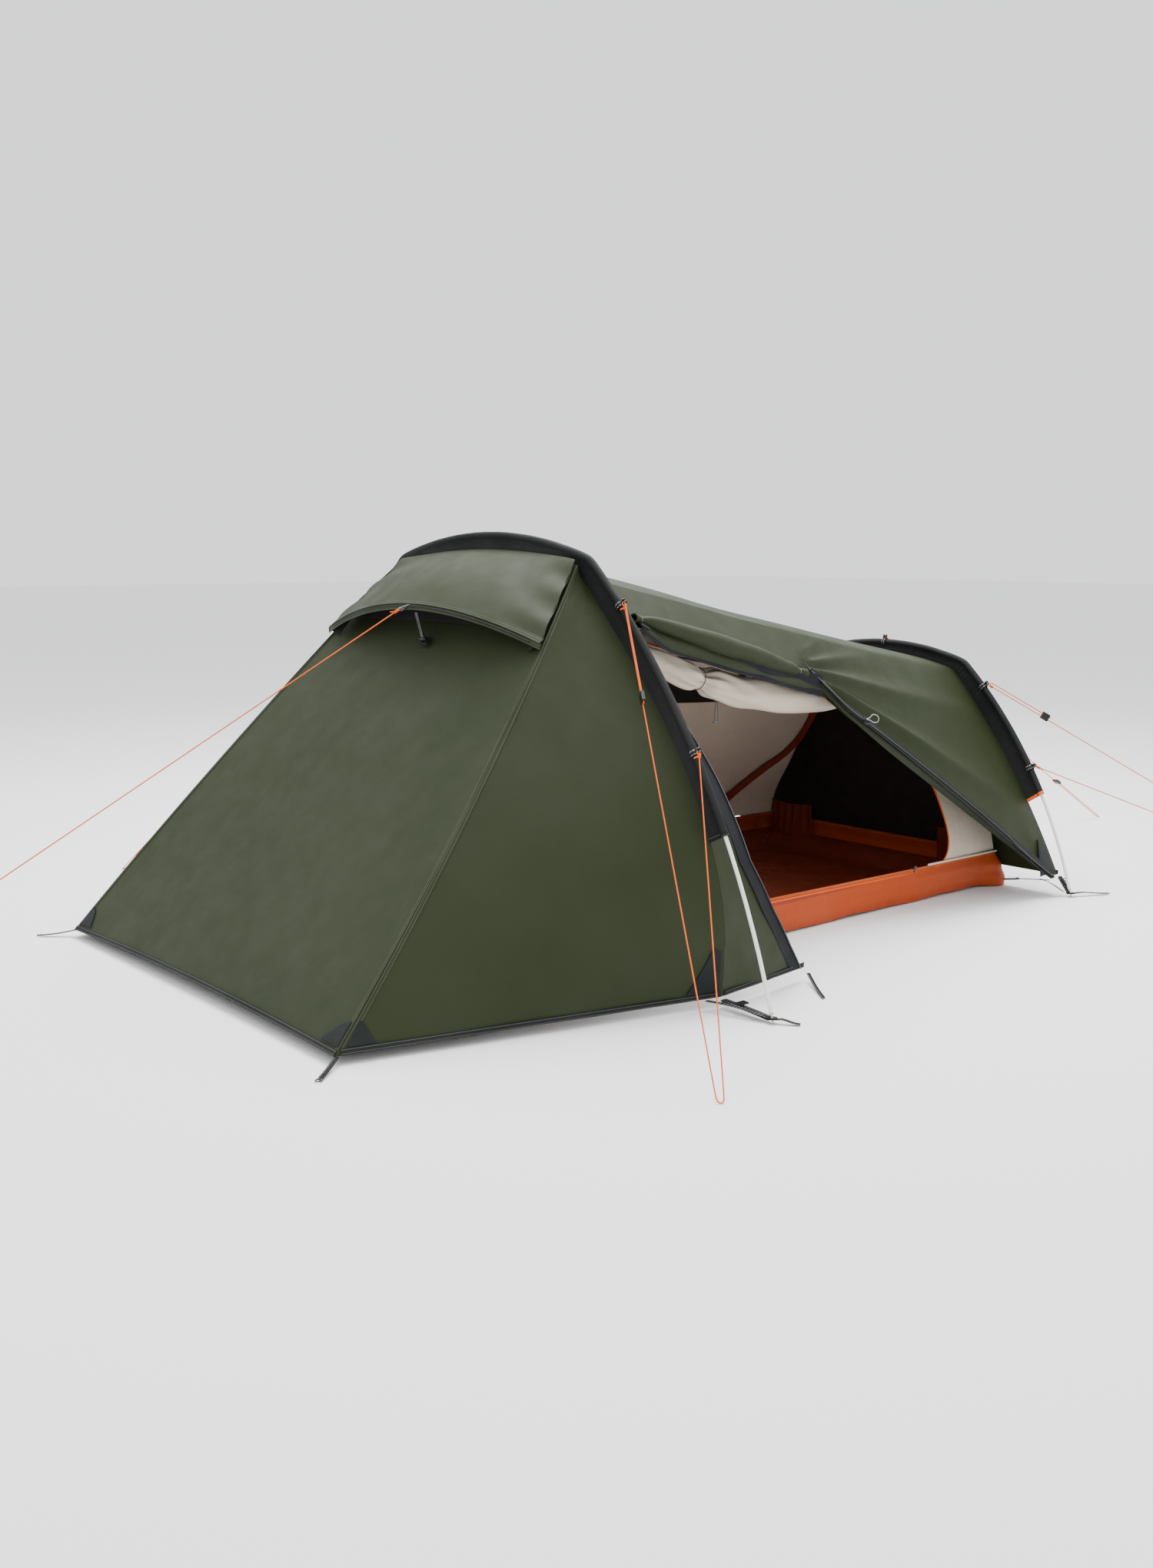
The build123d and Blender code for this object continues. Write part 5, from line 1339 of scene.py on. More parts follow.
class TENT_OT_sleeves(bpy.types.Operator):
    """Draws a pole sleeve over each hoop, with its web, hems and end trims"""
    bl_idname = "tent.sleeves"
    bl_label = "Sleeves"

    def execute(self, context):
        radius = context.scene.tent_sizes.sleeve
        hems, trims = Shape(), Shape()
        for name, hoop, seam in (("front", FRONT_HOOP, FRONT_SEAM), ("rear", REAR_HOOP, REAR_SEAM)):
            loops, c, f, length = sleeve_net(hoop, seam, radius)
            shape = Shape()
            first = shape.grid(loops, around=True)
            count = loops.shape[1]
            shape.loop([first + j for j in range(count)][::-1])
            shape.loop([first + (len(loops) - 1) * count + j for j in range(count)])
            shape.piece(f"{name}_pole_sleeve", finish("sleeve"), "sleeve_cloth", replaces=(f"{name}_sleeve",), sharp=60)
            for end, step in ((0, 1), (-1, -1)):
                for k in range(2):
                    at = c[end + step * (1 + 2 * k)] if end == 0 else c[-2 - 2 * k]
                    toward = f[end]
                    reach = np.linspace(radius * 0.9, length[end] + 0.002, 12)
                    for face in (1, -1):
                        line = at + toward * reach[:, None] + np.array((0, face * 0.0036, 0))
                        band = trims if name == "rear" else hems
                        if k == 0:
                            band.tape(line, np.tile((0.0, face, 0.0), (12, 1)), 0.009, 0.0008)
                a = np.linspace(-2.3, 2.3, 30)
                way = unit(np.cross(f[end], (0, 1, 0)))
                ring = c[end] + way * (0.004 if (way @ (c[1] - c[0])) * step > 0 else -0.004) \
                    - f[end] * (np.cos(a) * (radius + 0.0009))[:, None]
                ring[:, 1] += np.sin(a) * (radius + 0.0009)
                (trims if name == "rear" else hems).tape(ring, unit(ring - c[end]), 0.009, 0.0008,
                                                         across=np.tile(way, (30, 1)))
        hems.piece("sleeve_end_hems", finish("tape"), "black_tape")
        trims.piece("rear_sleeve_edging", finish("trim"), "orange_tape", replaces=("rear_sleeve_trim",))
        return {"FINISHED"}


# Vent ---------------------------------------------------------------------------------------------


class TENT_OT_vent(bpy.types.Operator):
    """Makes the vent's hood, its stitched rim and the mesh below it"""
    bl_idname = "tent.vent"
    bl_label = "Vent"

    def execute(self, context):
        sizes = context.scene.tent_sizes

        def wave(p, u, v):
            edge = np.exp(-((1 - u) / 0.10) ** 2)
            ends = np.exp(-(v / 0.10) ** 2) + np.exp(-((1 - v) / 0.10) ** 2)
            return 0.0022 * swell(p, 6.0, 4.0) * (1 - edge) + 0.0035 * ends * np.sin(u * 17 + 1)

        shape = Shape()
        p = facing(net(hood, 40, 130, wave=wave), (0, -0.4, 1))
        shape.sheet(p, sizes.cloth)
        piece = shape.piece("vent_hood_cloth", finish("fly"), "fly_cloth", replaces=("vent_hood",))
        rim = Shape()
        lay_tape(rim, lambda t, s: hood(np.full_like(t, 0.965 - 0.05 * s), t), (0, -0.4, 1), 0.017, 0.0012, 0.0015)
        lay_tape(rim, lambda t, s: hood(np.full_like(t, 0.985), t) + stack(0 * t, -0.001 + 0 * t, -0.010 - 0.01 * s + 0 * t),
                 (0, -1, 0), 0.014, 0.0012, 0.001)
        rim.piece("vent_hood_rim", finish("fly_seam"), "fly_cloth")
        netting = Shape()

        def under(u, v):
            w = 2 * v - 1
            y = FRONT_Y - 0.055 - 0.108 * u
            return stack((0.330 + 0.060 * u) * w, y - 0.013, nose_height(y) + 0.010)

        netting.sheet(facing(net(under, 16, 60), (0, -1, 1)), 0.0008)
        for side in (1, -1):
            def gusset(u, v):
                outer = hood(u, np.full_like(u, 0.5 + side * 0.497))
                y = outer[..., 1] + 0.006
                seam_x = np.interp(y, [NOSE_Y, FRONT_Y - 0.62, FRONT_Y - 0.25, FRONT_Y], [0.695, 0.65, 0.52, 0.40])
                inner = stack(side * np.minimum(seam_x, 0.47) * 0.93, y - 0.004, nose_height(y) + 0.004)
                return mix(outer, inner, v[..., None])
            netting.sheet(facing(net(gusset, 14, 10), (side, -0.6, 0)), 0.0008)
        netting.piece("vent_netting", finish("mesh"), "black_mesh", replaces=("vent_mesh",))
        return {"FINISHED"}


# Inner tent ---------------------------------------------------------------------------------------


def doorway_ring(side, grow=0.0, inwards=0.0, count=420):
    """The inner doorway's edge as a closed line on the wall, moved out by grow and inwards off the wall."""
    shape = (DOOR_OUTLINE, DOOR_CORNER) if side > 0 else (LEFT_OUTLINE, LEFT_CORNER)
    ring = resample(rounded(*shape), count + 1)[:-1]
    way = unit(np.roll(ring, -1, 0) - np.roll(ring, 1, 0))
    out = np.stack([way[:, 1], -way[:, 0]], 1)
    middle = ring.mean(0)
    if ((ring - middle) * out).sum() < 0:
        out = -out
    ring = ring + out * grow
    p = inner_wall(ring[:, 0], ring[:, 1], side)
    p[:, 0] -= side * inwards
    return p


class TENT_OT_inner_walls(bpy.types.Operator):
    """Hangs the inner tent's walls, roof and ends"""
    bl_idname = "tent.inner_walls"
    bl_label = "Inner tent"

    def execute(self, context):
        thick = context.scene.tent_sizes.cloth
        count = 420
        flat = resample(rounded(DOOR_OUTLINE, DOOR_CORNER), count + 1)[:-1]
        middle = flat.mean(0)
        away = unit(flat - middle)
        reach = np.full(count, 4.0)
        front, rear = INNER_FRONT_Y + 0.003, INNER_REAR_Y - 0.003
        steps = np.linspace(0, 1.4, 700)
        rays = middle + away[:, None] * steps[None, :, None]
        low = inner_size("tub", rays[..., 0]) + 0.0035
        inside = (rays[..., 0] > front) & (rays[..., 0] < rear) & (rays[..., 1] > low) \
            & (rays[..., 1] < inner_top(rays[..., 0]) - 0.002)
        last = np.where(inside, steps, 0).max(1)
        hole = np.linalg.norm(flat - middle, axis=1)
        reach = np.maximum(last, hole + 0.004)
        rows = np.stack([middle + away * mix(hole, reach, t)[:, None] for t in np.linspace(0, 1, 14)])
        p = inner_wall(rows[..., 0], rows[..., 1], 1)
        slack = 0.005 * swell(p, 9.0, 6.0) * smooth_step(0, 0.5, np.linspace(0, 1, 14))[:, None]
        p[..., 0] += slack - 0.002 - 0.009 * smooth_step(0.004, -0.002, p[..., 2] - inner_size("tub", p[..., 1]))
        shape = Shape()
        if (normals_of(p, True).mean((0, 1)) @ np.array((1.0, 0, 0))) < 0:
            p = p[:, ::-1]
        shape.sheet(p, thick, around=True)
        right = shape.piece("inner_right_cloth", finish("inner"), "inner_cream", replaces=("inner_wall_right",))

        def wall(u, v):
            y = mix(front, rear, u)
            return inner_wall(y, mix(inner_size("tub", y) + 0.004, inner_top(y) - 0.002, v), -1)

        shape = Shape()
        shape.sheet(facing(net(wall, 130, 60, wave=lambda p, u, v: 0.006 * swell(p, 8.0, 8.0) * np.sin(math.pi * v)),
                           (-1, 0, 0)), thick)
        left = shape.piece("inner_left_cloth", finish("inner"), "inner_cream", replaces=("inner_wall_left",))

        def roof(u, v):
            y = mix(FRONT_Y - 0.036, INNER_REAR_Y - 0.004, u)
            w = 1 - 2 * v
            (sx, sz), crown = inner_shoulder(y), inner_size("crown", y)
            return stack(w * (sx - 0.002), y, crown - (crown - sz) * w * w + 0.002)

        shape = Shape()
        shape.sheet(facing(net(roof, 90, 60, wave=lambda p, u, v: -0.012 * np.sin(math.pi * u) * np.sin(math.pi * v)
                               + 0.004 * swell(p, 7.0, 2.0)), (0, 0, 1)), thick)
        top = shape.piece("inner_roof_cloth", finish("inner"), "inner_cream", replaces=("inner_roof",))

        def end(u, v):
            y = mix(INNER_FRONT_Y - 0.002, FRONT_Y - 0.040, u)
            half = mix(INNER_FRONT["floor"] - 0.004, INNER_FRONT["shoulder"][0] - 0.004, u)
            w = 1 - 2 * v
            low = inner_size("tub", INNER_FRONT_Y) + 0.006
            return stack(w * half, y, mix(low, INNER_FRONT["shoulder"][1] + 0.004, u) + 0.052 * (1 - w * w) * u)

        shape = Shape()
        shape.sheet(facing(net(end, 60, 70, wave=lambda p, u, v: 0.006 * swell(p, 7.0, 1.0) * np.sin(math.pi * v)),
                           (0, -1, 1)), thick)
        nose = shape.piece("inner_front_cloth", finish("inner"), "inner_cream", replaces=("inner_front_end",))

        def back(u, v):
            w = 1 - 2 * v
            y = INNER_REAR_Y - 0.003
            x = w * INNER_REAR["floor"] * 0.985
            heights = np.linspace(INNER_REAR["tub"] + 0.004, INNER_REAR["shoulder"][1], 60)
            edge = inner_wall(np.full(60, y), heights, 1)[:, 0]
            high = np.interp(np.abs(x), edge[::-1], heights[::-1])
            sx, drop = INNER_REAR["shoulder"][0], INNER_REAR["crown"] - INNER_REAR["shoulder"][1]
            high = np.where(np.abs(x) < sx, INNER_REAR["crown"] - 0.004 - drop * (x / sx) ** 2, high)
            low = INNER_REAR["tub"] + 0.004
            return stack(x, y + 0 * x, mix(np.maximum(high, low + 0.004), low, u))

        shape = Shape()
        shape.sheet(facing(net(back, 50, 80, wave=lambda p, u, v: 0.007 * swell(p, 9.0, 3.0) * np.sin(math.pi * u)),
                           (0, 1, 0)), thick)
        rear_net = shape.piece("inner_rear_netting", finish("mesh"), "black_mesh", replaces=("inner_rear_mesh",))
        return {"FINISHED"}


class TENT_OT_inner_zips(bpy.types.Operator):
    """Edges both inner doorways with their zip tapes and piping"""
    bl_idname = "tent.inner_zips"
    bl_label = "Inner doorways"

    def execute(self, context):
        bands, coils, edging = Shape(), Shape(), Shape()
        for side in (1, -1):
            inner_edge = doorway_ring(side, -0.001, 0.0032)
            outer_edge = doorway_ring(side, 0.021 if side > 0 else 0.036, 0.0030)
            for lift in ((0.0, 0.0070) if side < 0 else (0.0,)):
                rows = np.stack([mix(inner_edge, outer_edge, t) - (side * lift, 0, 0) for t in np.linspace(0, 1, 5)])
                if (normals_of(rows, True).mean((0, 1)) @ np.array((side, 0.0, 0.0))) < 0:
                    rows = rows[:, ::-1]
                if lift or side > 0:
                    bands.sheet(rows, 0.0012, around=True)
            ring = doorway_ring(side, 0.001, 0.0040 if side > 0 else 0.0115)
            (edging if side > 0 else coils).tube(np.vstack([ring, ring[:1]]), 0.0024 if side > 0 else 0.0019, sides=8,
                                                 ends=False, up=(1, 0, 0))
        bands.piece("inner_zip_tapes", finish("maroon"), "zip_maroon", replaces=("inner_zip_bands",))
        coils.piece("inner_zip_coils", finish("coil"), "zip_black")
        edging.piece("inner_doorway_edging", finish("trim"), "orange_tape")
        panel = Shape()

        def window(u, v):
            y = mix(0.18, 0.86, u)
            return inner_wall(y, mix(0.640, 0.553 - 0.03 * (y - 0.6), v), -1) + stack(0.0045 + 0 * y, 0 * y, 0 * y)

        panel.sheet(facing(net(window, 60, 12), (1, 0, 0)), 0.0008)
        panel.piece("inner_wall_netting", finish("mesh"), "black_mesh")
        piping = Shape()
        for start, stop in ((INNER_FRONT_Y + 0.01, DOOR_OUTLINE[0][0] + 0.05), (FRONT_Y + 1.265, INNER_REAR_Y - 0.004)):
            edge = np.linspace(start, stop, 80)
            line = inner_wall(edge, inner_size("tub", edge) + 0.004, 1) + np.array((0.0045, 0, 0.002))
            piping.tube(line, 0.0034, sides=10, up=(1, 0, 0))
        piping.piece("inner_wall_piping", finish("inner_edge"), "inner_cream")
        return {"FINISHED"}


class TENT_OT_tub(bpy.types.Operator):
    """Makes the tub's raised sides, its floor and its bound top edge"""
    bl_idname = "tent.tub"
    bl_label = "Tub"

    def execute(self, context):
        a = (INNER_FRONT["floor"] + 0.002, INNER_FRONT_Y)
        b = (INNER_REAR["floor"], INNER_REAR_Y)
        outline = rounded(((a[0], a[1]), (b[0], b[1]), (-b[0], b[1]), (-a[0], a[1])), 0.030, 0.004)[:-1]
        way = unit(np.roll(outline, -1, 0) - np.roll(outline, 1, 0))
        out = np.stack([way[:, 1], -way[:, 0]], 1)
        if ((outline - outline.mean(0)) * out).sum() < 0:
            out = -out
        run = np.concatenate([[0], np.cumsum(np.linalg.norm(np.diff(outline, axis=0), axis=1))])
        height = inner_size("tub", outline[:, 1])
        rows = []
        for t in np.linspace(0, 1, 14):
            creases = (0.0022 * np.sin(run * 7 + 2.0 * t) + 0.0022 * np.sin(run * 2.6 + 13 * t + 1.5 * np.sin(run * 1.7))
                       + 0.0008 * np.sin(run * 23 - 3 * t)) * math.sin(math.pi * min(1, 0.12 + t)) ** 0.6
            rear = smooth_step(INNER_REAR_Y - 0.10, INNER_REAR_Y, outline[:, 1]) \
                * smooth_step(INNER_REAR["floor"] - 0.12, INNER_REAR["floor"], np.abs(outline[:, 0]))
            sag = 0.009 * math.sin(math.pi * t) - 0.002 + 0.045 * rear * (1 - 0.75 * t)
            lift = (0.0020 * (1 + np.sin(run * 14)) + 0.0012 * (1 + np.sin(run * 31 + 2))) * (1 - t)
            xy = outline + out * (creases + sag)[:, None]
            rows.append(stack(xy[:, 0], xy[:, 1], 0.002 + lift + (height - 0.003) * t))
        p = np.stack(rows)
        if (normals_of(p, True)[7] * np.c_[out, 0 * out[:, 0]]).sum() < 0:
            p = p[:, ::-1]
        shape = Shape()
        shape.sheet(p, 0.0011, around=True)
        wall = shape.piece("tub_walls", finish("tub"), "tub_orange", replaces=("inner_tub",))
        floor = Shape()

        def ground(u, v):
            y = mix(INNER_FRONT_Y + 0.001, INNER_REAR_Y - 0.001, u)
            half = mix(a[0], b[0], u) - 0.0005
            x = (1 - 2 * v) * half
            ripple = 0.0016 * (1 + np.sin(7 * x + 3 * np.sin(5 * y))) + 0.0014 * (1 + np.sin(13 * y + 4 * x))
            edge = smooth_step(0, 0.04, 0.5 - np.abs(v - 0.5)) * smooth_step(0, 0.03, 0.5 - np.abs(u - 0.5))
            gap = np.minimum((0.5 - np.abs(v - 0.5)) * 2 * half, (0.5 - np.abs(u - 0.5)) * (INNER_REAR_Y - INNER_FRONT_Y))
            return stack(x, y, 0.0022 + ripple * edge + 0.046 * smooth_step(0.13, 0.0, gap))

        floor.sheet(facing(net(ground, 110, 70), (0, 0, 1)), 0.001)
        # The floor cloth's darker orange finish is painted shade
        ground_cloth = floor.piece("tub_floor_cloth", finish("floor"), "tub_orange")
        edge = Shape()
        top = np.vstack([p[-1], p[-1][:1]])
        normals = np.vstack([np.c_[out, 0 * out[:, 0]]] * 1 + [np.r_[out[0], 0][None]])
        if not np.allclose(p[-1][:, :2], np.stack(rows)[-1][:, :2]):
            normals = normals[::-1]
        edge.tape(top + normals * 0.0012 - np.array((0, 0, 0.004)), normals, 0.012, 0.0012)
        edge.piece("tub_edge_binding", finish("tub_edge"), "tub_orange")
        return {"FINISHED"}


INNER_ROLL = ((0.416, FRONT_Y + 0.070, 0.830), (0.410, FRONT_Y + 0.200, 0.775), (0.398, FRONT_Y + 0.360, 0.722),
              (0.385, FRONT_Y + 0.545, 0.672), (0.375, FRONT_Y + 0.760, 0.632), (0.360, FRONT_Y + 1.010, 0.602))


class TENT_OT_inner_roll(bpy.types.Operator):
    """Rolls the inner door up along the top of its doorway, and hangs the pockets and ties"""
    bl_idname = "tent.inner_roll"
    bl_label = "Inner door and fittings"

    def execute(self, context):
        line = curve_through(INNER_ROLL, 130)
        t = np.linspace(0, 1, 130)
        cinch = 0.36
        radius = np.interp(t, (0, 0.1, 0.3, 0.5, 0.8, 0.95, 1.0), (0.012, 0.034, 0.042, 0.044, 0.040, 0.022, 0.010))
        radius = soften(radius[:, None], 12)[:, 0] * (1 - 0.40 * np.exp(-((t - cinch) / 0.028) ** 2))
        way = unit(np.gradient(line, axis=0))
        side = unit(np.cross(way, (0, 0, 1.0)))
        above = np.cross(side, way)
        turns = np.linspace(0, math.tau * 2.2, 110)
        a = turns[None, :] + 2.2 + 0.4 * np.sin(4 * t)[:, None]
        near = np.exp(-((t - cinch) / 0.09) ** 2)[:, None]
        spread = np.exp(-((t - cinch) / 0.24) ** 2)[:, None]
        lump = 1 + 0.06 * np.sin(8 * t[:, None] + 2 * a) + 0.10 * near * np.sin(9 * a) + 0.04 * np.sin(31 * t[:, None] + a)
        lump = lump + 0.055 * spread * np.sin(6 * a + 26 * (t[:, None] - cinch)) + 0.030 * np.sin(5 * a - 17 * t[:, None])
        r = radius[:, None] * (0.78 + 0.22 * turns[None, :] / turns[-1]) * lump
        p = line[:, None] + side[:, None] * (np.cos(a) * r)[..., None] + above[:, None] * (np.sin(a) * r)[..., None]
        shape = Shape()
        shape.sheet(p, 0.0011)
        roll = shape.piece("inner_roll_cloth", finish("inner"), "inner_cream", replaces=("inner_door_roll",), sharp=50)
        pockets = Shape()
        for way_out in (1, -1):
            half = INNER_REAR["floor"] - 0.014

            def pocket(u, v):
                x = way_out * (half - 0.105) + (v - 0.5) * 0.19
                bag = 0.016 * np.sin(math.pi * v) ** 0.7 * (0.35 + 0.65 * u) + 0.004 * np.sin(v * 34) * (1 - 0.7 * u)
                return stack(x, INNER_REAR_Y - 0.020 - bag, 0.157 - 0.120 * u + 0.006 * np.sin(math.pi * v) * (1 - u) * -1)

            q = facing(net(pocket, 26, 60), (0, -1, 0))
            pockets.sheet(q, 0.0009)
            top = q[0] if q[0, :, 2].mean() > q[-1, :, 2].mean() else q[-1]
            pockets.tube(top + np.array((0, -0.001, 0)), 0.0022, sides=8)
        bags = pockets.piece("rear_mesh_pockets", finish("pocket"), "zip_maroon", replaces=("mesh_pockets",))
        cords = Shape()
        for at in (0.060, 0.800, 1.540):
            y = FRONT_Y + at
            fly_z = mix(FRONT_SEAM["crown"], REAR_SEAM["crown"], at / SPACING)
            low = float(inner_size("crown", y)) - 0.004
            for shift in (-0.003, 0.003):
                spots = np.array(((shift, y, low), (shift * 1.6, y, (low + fly_z) / 2), (shift, y, fly_z - 0.014)))
                cords.tube(curve_through(spots, 12), 0.0013, sides=8)
            for sign in (1, -1):
                spot = inner_wall(np.array([y]), inner_shoulder(y)[1] - 0.012, sign)[0]
                high = fly_side(np.array([at / SPACING]), np.array([0.02]), sign)[0] - np.array((0, 0, 0.012))
                cords.tube(np.linspace(spot, high, 8), 0.0014, sides=8)
        for sign in (1, -1):
            a, b = np.array((sign * 0.564, REAR_Y - 0.003, 0.0265)), np.array((sign * 0.676, REAR_Y - 0.002, 0.040))
            cords.tube(np.linspace(a, b, 12), 0.0015, sides=8)
            wrap = np.linspace(0, math.tau * 2.5, 50)
            ring = a + np.stack([sign * np.linspace(-0.006, 0.006, 50), 0.0026 * np.cos(wrap), 0.0026 * np.sin(wrap)], 1)
            cords.tube(ring, 0.0014, sides=8, up=(1, 0, 0))
        cords.piece("inner_tie_cords", finish("elastic_dark"), "elastic_cord", replaces=("inner_ties",))
        webs = Shape()
        for sign in (1, -1):
            line = np.linspace((sign * (INNER_REAR["floor"] + 0.002), INNER_REAR_Y - 0.008, 0.016),
                               (sign * 0.562, REAR_Y - 0.004, 0.026), 24)
            webs.tape(line, np.tile((0.0, -0.2, 1.0), (24, 1)), 0.012, 0.0016)
        webs.piece("inner_corner_webs", finish("webbing"), "black_tape")
        hang = Shape()
        low, high = (np.array(q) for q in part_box("hanging_toggle"))
        middle = (low + high) / 2
        for shift in (-0.005, 0.005):
            spots = np.array(((middle[0], middle[1] + shift * 0.4, high[2]), (middle[0], middle[1] + shift, middle[2]),
                              (middle[0], middle[1] + shift, low[2] + 0.003)))
            hang.tube(curve_through(spots, 16), 0.0012, sides=8, up=(1, 0, 0))
        bar = np.linspace((middle[0], middle[1] - 0.011, low[2] + 0.0034), (middle[0], middle[1] + 0.011, low[2] + 0.0034), 24)
        hang.tube(bar, 0.0030, sides=12,
                  profile=lambda s, angle: 1 - 0.22 * np.exp(-((s - 0.5) / 0.12) ** 2) + 0 * angle)
        hang.piece("spare_roll_tie", finish("elastic_dark"), "elastic_cord", body="spare_toggle",
                   replaces=("hanging_toggle",))
        around = Shape()
        k = int(cinch * 129)
        a = np.linspace(0, math.tau, 40)
        ring = line_at = None
        del ring, line_at
        roll_line = curve_through(INNER_ROLL, 130)
        loop = roll_line[k] + (side[k] * np.cos(a)[:, None] + above[k] * np.sin(a)[:, None]) * radius[k] * 1.12
        around.tube(loop, 0.0014, sides=8, ends=False, up=way[k])
        around.piece("inner_roll_elastic", finish("elastic_dark"), "elastic_cord")
        return {"FINISHED"}


# Ground fixings -----------------------------------------------------------------------------------


class TENT_OT_footings(bpy.types.Operator):
    """Threads the webbing at each pole foot, the cross straps and the corner tie-outs"""
    bl_idname = "tent.footings"
    bl_label = "Foot webbing"

    def execute(self, context):
        sizes = context.scene.tent_sizes
        wide, thick = sizes.webbing, sizes.tape
        webs, straps, outs = Shape(), Shape(), Shape()
        for hoop, seam, tail, back in ((FRONT_HOOP, FRONT_SEAM, (1.117, FRONT_Y + 0.035), -0.046),
                                       (REAR_HOOP, REAR_SEAM, (0.808, None), -0.090)):
            foot = np.array((hoop["foot"][0], hoop["y"], 0.012))
            low, high = (np.array(q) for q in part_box("grommets"))
            ring_x = high[0] - 0.009 if hoop is FRONT_HOOP else foot[0] + 0.0045
            ring = np.array((ring_x, hoop["y"], 0.012))
            tail_y = tail[1] if tail[1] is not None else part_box("foot_webbing")[1][1] - 0.004
            for side in (1, -1):
                flip = np.array((side, 1, 1))
                hem = np.array((seam["hem"][0] + 0.008, hoop["y"], max(seam["hem"][1], 0.024) - 0.004))
                run = np.linspace(0, 1, 40)[:, None]
                line = mix(hem, ring - np.array((0.005, 0, 0.0)), run)
                line[:, 2] += 0.0035 * np.sin(np.linspace(0, math.pi, 40)) * 0.4
                webs.tape(line * flip, np.tile((side * 0.12, 0, 1.0), (40, 1)), wide + 0.004, thick, crown=0.0006)
                under = line - np.array((0, 0, 0.0042))
                webs.tape(under * flip, np.tile((side * 0.12, 0, 1.0), (40, 1)), wide, thick)
                way = unit(np.array((tail[0] if hoop is FRONT_HOOP else 0.808, tail_y, 0.0035)) - ring)
                end = np.array((tail[0], tail_y, 0.0045))
                start = ring + way * 0.009
                spots = np.stack([start, mix(start, end, 0.3) + (0, 0, 0.003), mix(start, end, 0.7), end])
                tape_line = curve_through(spots, 30)
                webs.tape(tape_line * flip, np.tile((0, 0, 1.0), (30, 1)), wide * 0.8, thick)
                a = np.linspace(0, math.tau, 33)[:-1]
                pad_rows = np.stack([ring + stack(np.cos(a) * r, np.sin(a) * r * 0.92, 0 * a + 0.0011)
                                     for r in (0.0045, 0.0085, 0.0125, 0.0135)])
                pad_rows = pad_rows * flip
                if (normals_of(pad_rows, True).mean((0, 1)))[2] < 0:
                    pad_rows = pad_rows[:, ::-1]
                webs.sheet(pad_rows, 0.0024, around=True)
                brace = hem + np.array((-0.010, back, 0.004))
                goal = ring + np.array((-0.020, -0.008, 0.003))
                line = curve_through(np.stack([brace, mix(brace, goal, 0.5) + (0, 0, 0.004), goal]), 36)
                straps.tape(line * flip, np.tile((0, 0, 1.0), (36, 1)), 0.012, thick)
        webs.piece("foot_webs", finish("webbing"), "black_tape", replaces=("foot_webbing",))
        straps.piece("foot_cross_straps", finish("reflective"), "black_tape", replaces=("cross_straps",))
        front_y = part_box("tie_outs")[0][1]
        for side in (1, -1):
            corner = np.array((side * (NOSE_HALF_WIDTH + 0.002), NOSE_Y + 0.004, 0.020))
            end = np.array((side * 0.756, front_y + 0.013, 0.0050))
            line = curve_through(np.stack([corner, mix(corner, end, 0.5) + (0, 0, -0.002), end]), 24)
            outs.tape(line, np.tile((0, 0, 1.0), (24, 1)), 0.012, thick)
            outs.ring((side * 0.760, front_y + 0.0085, 0.0042), (0, 0, 1), 0.0068, 0.0013)
            corner = np.array((side * 0.882, FRONT_Y + 0.318, 0.022))
            end = np.array((side * 1.010, FRONT_Y + 0.232, 0.0045))
            spots = np.stack([corner, mix(corner, end, 0.45) - (0, 0, 0.004), mix(corner, end, 0.75) - (0, 0, 0.003), end])
            outs.tape(curve_through(spots, 26), np.tile((0, 0, 1.0), (26, 1)), 0.009, thick)
        outs.piece("corner_tie_outs", finish("webbing"), "black_tape", replaces=("tie_outs",))
        return {"FINISHED"}


class TENT_OT_hardware(bpy.types.Operator):
    """Finishes the poles, ferrules, buckles, sliders and other hard parts"""
    bl_idname = "tent.hardware"
    bl_label = "Hard parts"

    def execute(self, context):
        dress("pole", "front_pole", "rear_pole")
        dress("metal", "pole_ferrules", "pole_tips")
        dress("eyelet", "grommets")
        dress("elastic", "shock_cords")
        dress("sleeve", "vent_rim_wire")
        dress("plastic", "ladder_buckles", "door_toggles", "vent_strut", "vent_strut_mount",
              *(f"{name}_guy_slider" for name in GUY_ROUTES))
        dress("pull", "right_door_zip_slider", "left_door_zip_slider", "inner_zip_slider_right",
              "inner_zip_slider_left")
        return {"FINISHED"}


# Stage --------------------------------------------------------------------------------------------

CAMERA_PLACE = (3.38936, -2.85328, 1.05698)
CAMERA_TURN = (50.752, 8.657)
CAMERA_LENS = 35.54


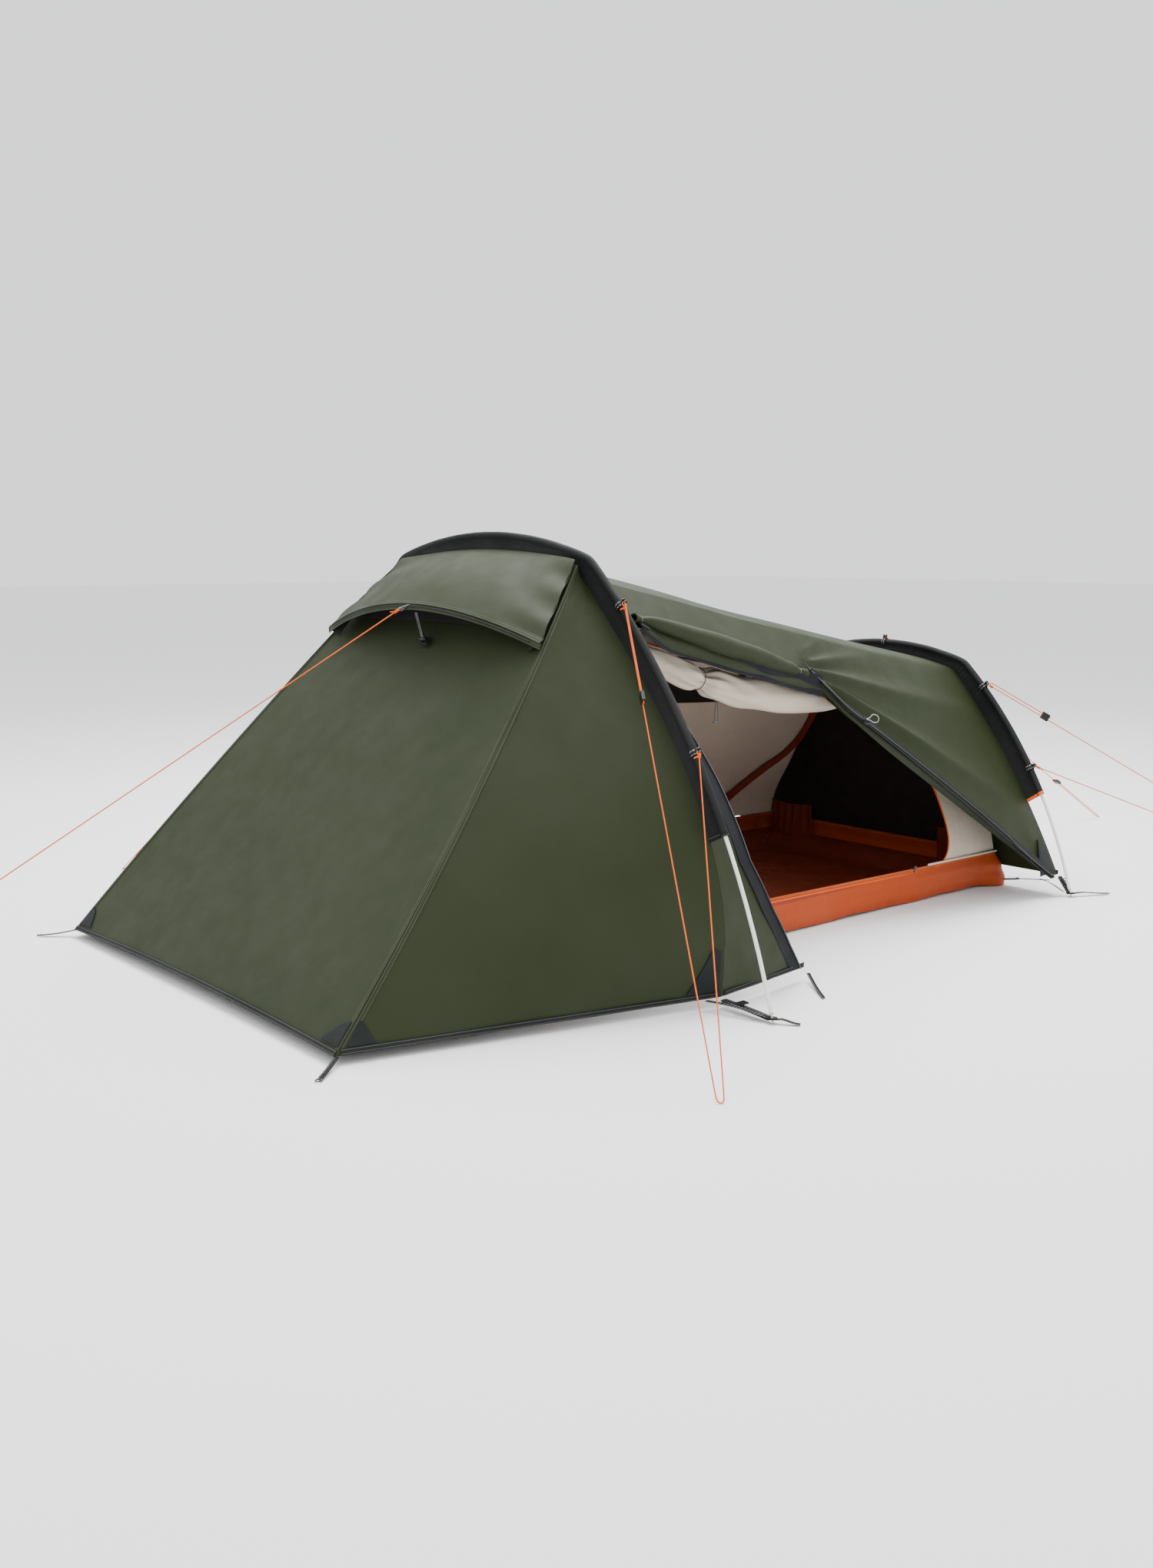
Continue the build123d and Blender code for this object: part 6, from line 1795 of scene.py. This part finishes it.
class TENT_OT_stage(bpy.types.Operator):
    """Sets the pale floor, the soft lights and the camera"""
    bl_idname = "tent.stage"
    bl_label = "Stage"

    def execute(self, context):
        scene = context.scene
        floor = bpy.data.meshes.new("floor")
        reach = 40.0
        floor.from_pydata([(-reach, -reach, 0), (reach, -reach, 0), (reach, reach, 0), (-reach, reach, 0)], [],
                          [(0, 1, 2, 3)])
        ground = bpy.data.objects.new("floor", floor)
        scene.collection.objects.link(ground)
        ground.location.z = -0.0004
        pale = Finish("pale_floor", (0.90, 0.90, 0.90), 0.9)
        floor.materials.append(pale.material)
        world = bpy.data.worlds.new("soft_room")
        world.use_nodes = True
        world.node_tree.nodes["Background"].inputs["Color"].default_value = (0.97, 0.98, 1.0, 1)
        world.node_tree.nodes["Background"].inputs["Strength"].default_value = 1.5
        scene.world = world
        for name, spot, breadth, power in (("key", (2.2, -3.6, 4.6), 3.0, 60.0), ("fill", (4.2, 1.8, 2.6), 3.5, 18.0),
                                           ("top", (-0.6, 0.8, 4.4), 4.0, 500.0), ("cabin", (0.0, 0.25, 0.70), 0.3, 2.4)):
            lamp = bpy.data.lights.new(name, "AREA")
            lamp.size, lamp.energy = breadth, power
            lit = bpy.data.objects.new(name, lamp)
            lit.location = spot
            lit.rotation_euler = (Vector((0.0, 0.0, 0.3)) - Vector(spot)).to_track_quat("-Z", "Y").to_euler()
            scene.collection.objects.link(lit)
        azimuth, elevation = (math.radians(v) for v in CAMERA_TURN)
        back = Vector((math.sin(azimuth) * math.cos(elevation), -math.cos(azimuth) * math.cos(elevation),
                       math.sin(elevation)))
        view = bpy.data.cameras.new("view")
        view.lens, view.sensor_width, view.sensor_fit = CAMERA_LENS, 36.0, "AUTO"
        view.clip_end = 200.0
        camera = bpy.data.objects.new("view", view)
        camera.location = CAMERA_PLACE
        camera.rotation_euler = (-back).to_track_quat("-Z", "Y").to_euler()
        scene.collection.objects.link(camera)
        scene.camera = camera
        return {"FINISHED"}


# Panel and start ----------------------------------------------------------------------------------

OPERATORS = (TENT_OT_stage, TENT_OT_guy_lines, TENT_OT_guy_straps, TENT_OT_canopy, TENT_OT_front_strips,
             TENT_OT_left_door, TENT_OT_nose, TENT_OT_rear_end, TENT_OT_hems, TENT_OT_patches, TENT_OT_zips,
             TENT_OT_rolled_door, TENT_OT_sleeves, TENT_OT_vent, TENT_OT_inner_walls, TENT_OT_inner_zips,
             TENT_OT_tub, TENT_OT_inner_roll, TENT_OT_footings, TENT_OT_hardware)


class TENT_PT_panel(bpy.types.Panel):
    """Lists the tent's settings and the steps that build it"""
    bl_idname = "TENT_PT_panel"
    bl_label = "Tunnel Tent"
    bl_space_type = "VIEW_3D"
    bl_region_type = "UI"
    bl_category = "Tent"

    def draw(self, context):
        for settings in (context.scene.tent_sizes, context.scene.tent_colours):
            for key in settings.__annotations__:
                self.layout.prop(settings, key)
        for operator in OPERATORS:
            self.layout.operator(operator.bl_idname)


CLASSES = (TentSizes, TentColours, *OPERATORS, TENT_PT_panel)


def register():
    for made in CLASSES:
        bpy.utils.register_class(made)
    bpy.types.Scene.tent_sizes = bpy.props.PointerProperty(type=TentSizes)
    bpy.types.Scene.tent_colours = bpy.props.PointerProperty(type=TentColours)


def unregister():
    del bpy.types.Scene.tent_colours
    del bpy.types.Scene.tent_sizes
    for made in reversed(CLASSES):
        bpy.utils.unregister_class(made)


def main():
    register()
    for operator in OPERATORS:
        group, name = operator.bl_idname.split(".")
        getattr(getattr(bpy.ops, group), name)()


if __name__ == "__main__":
    main()
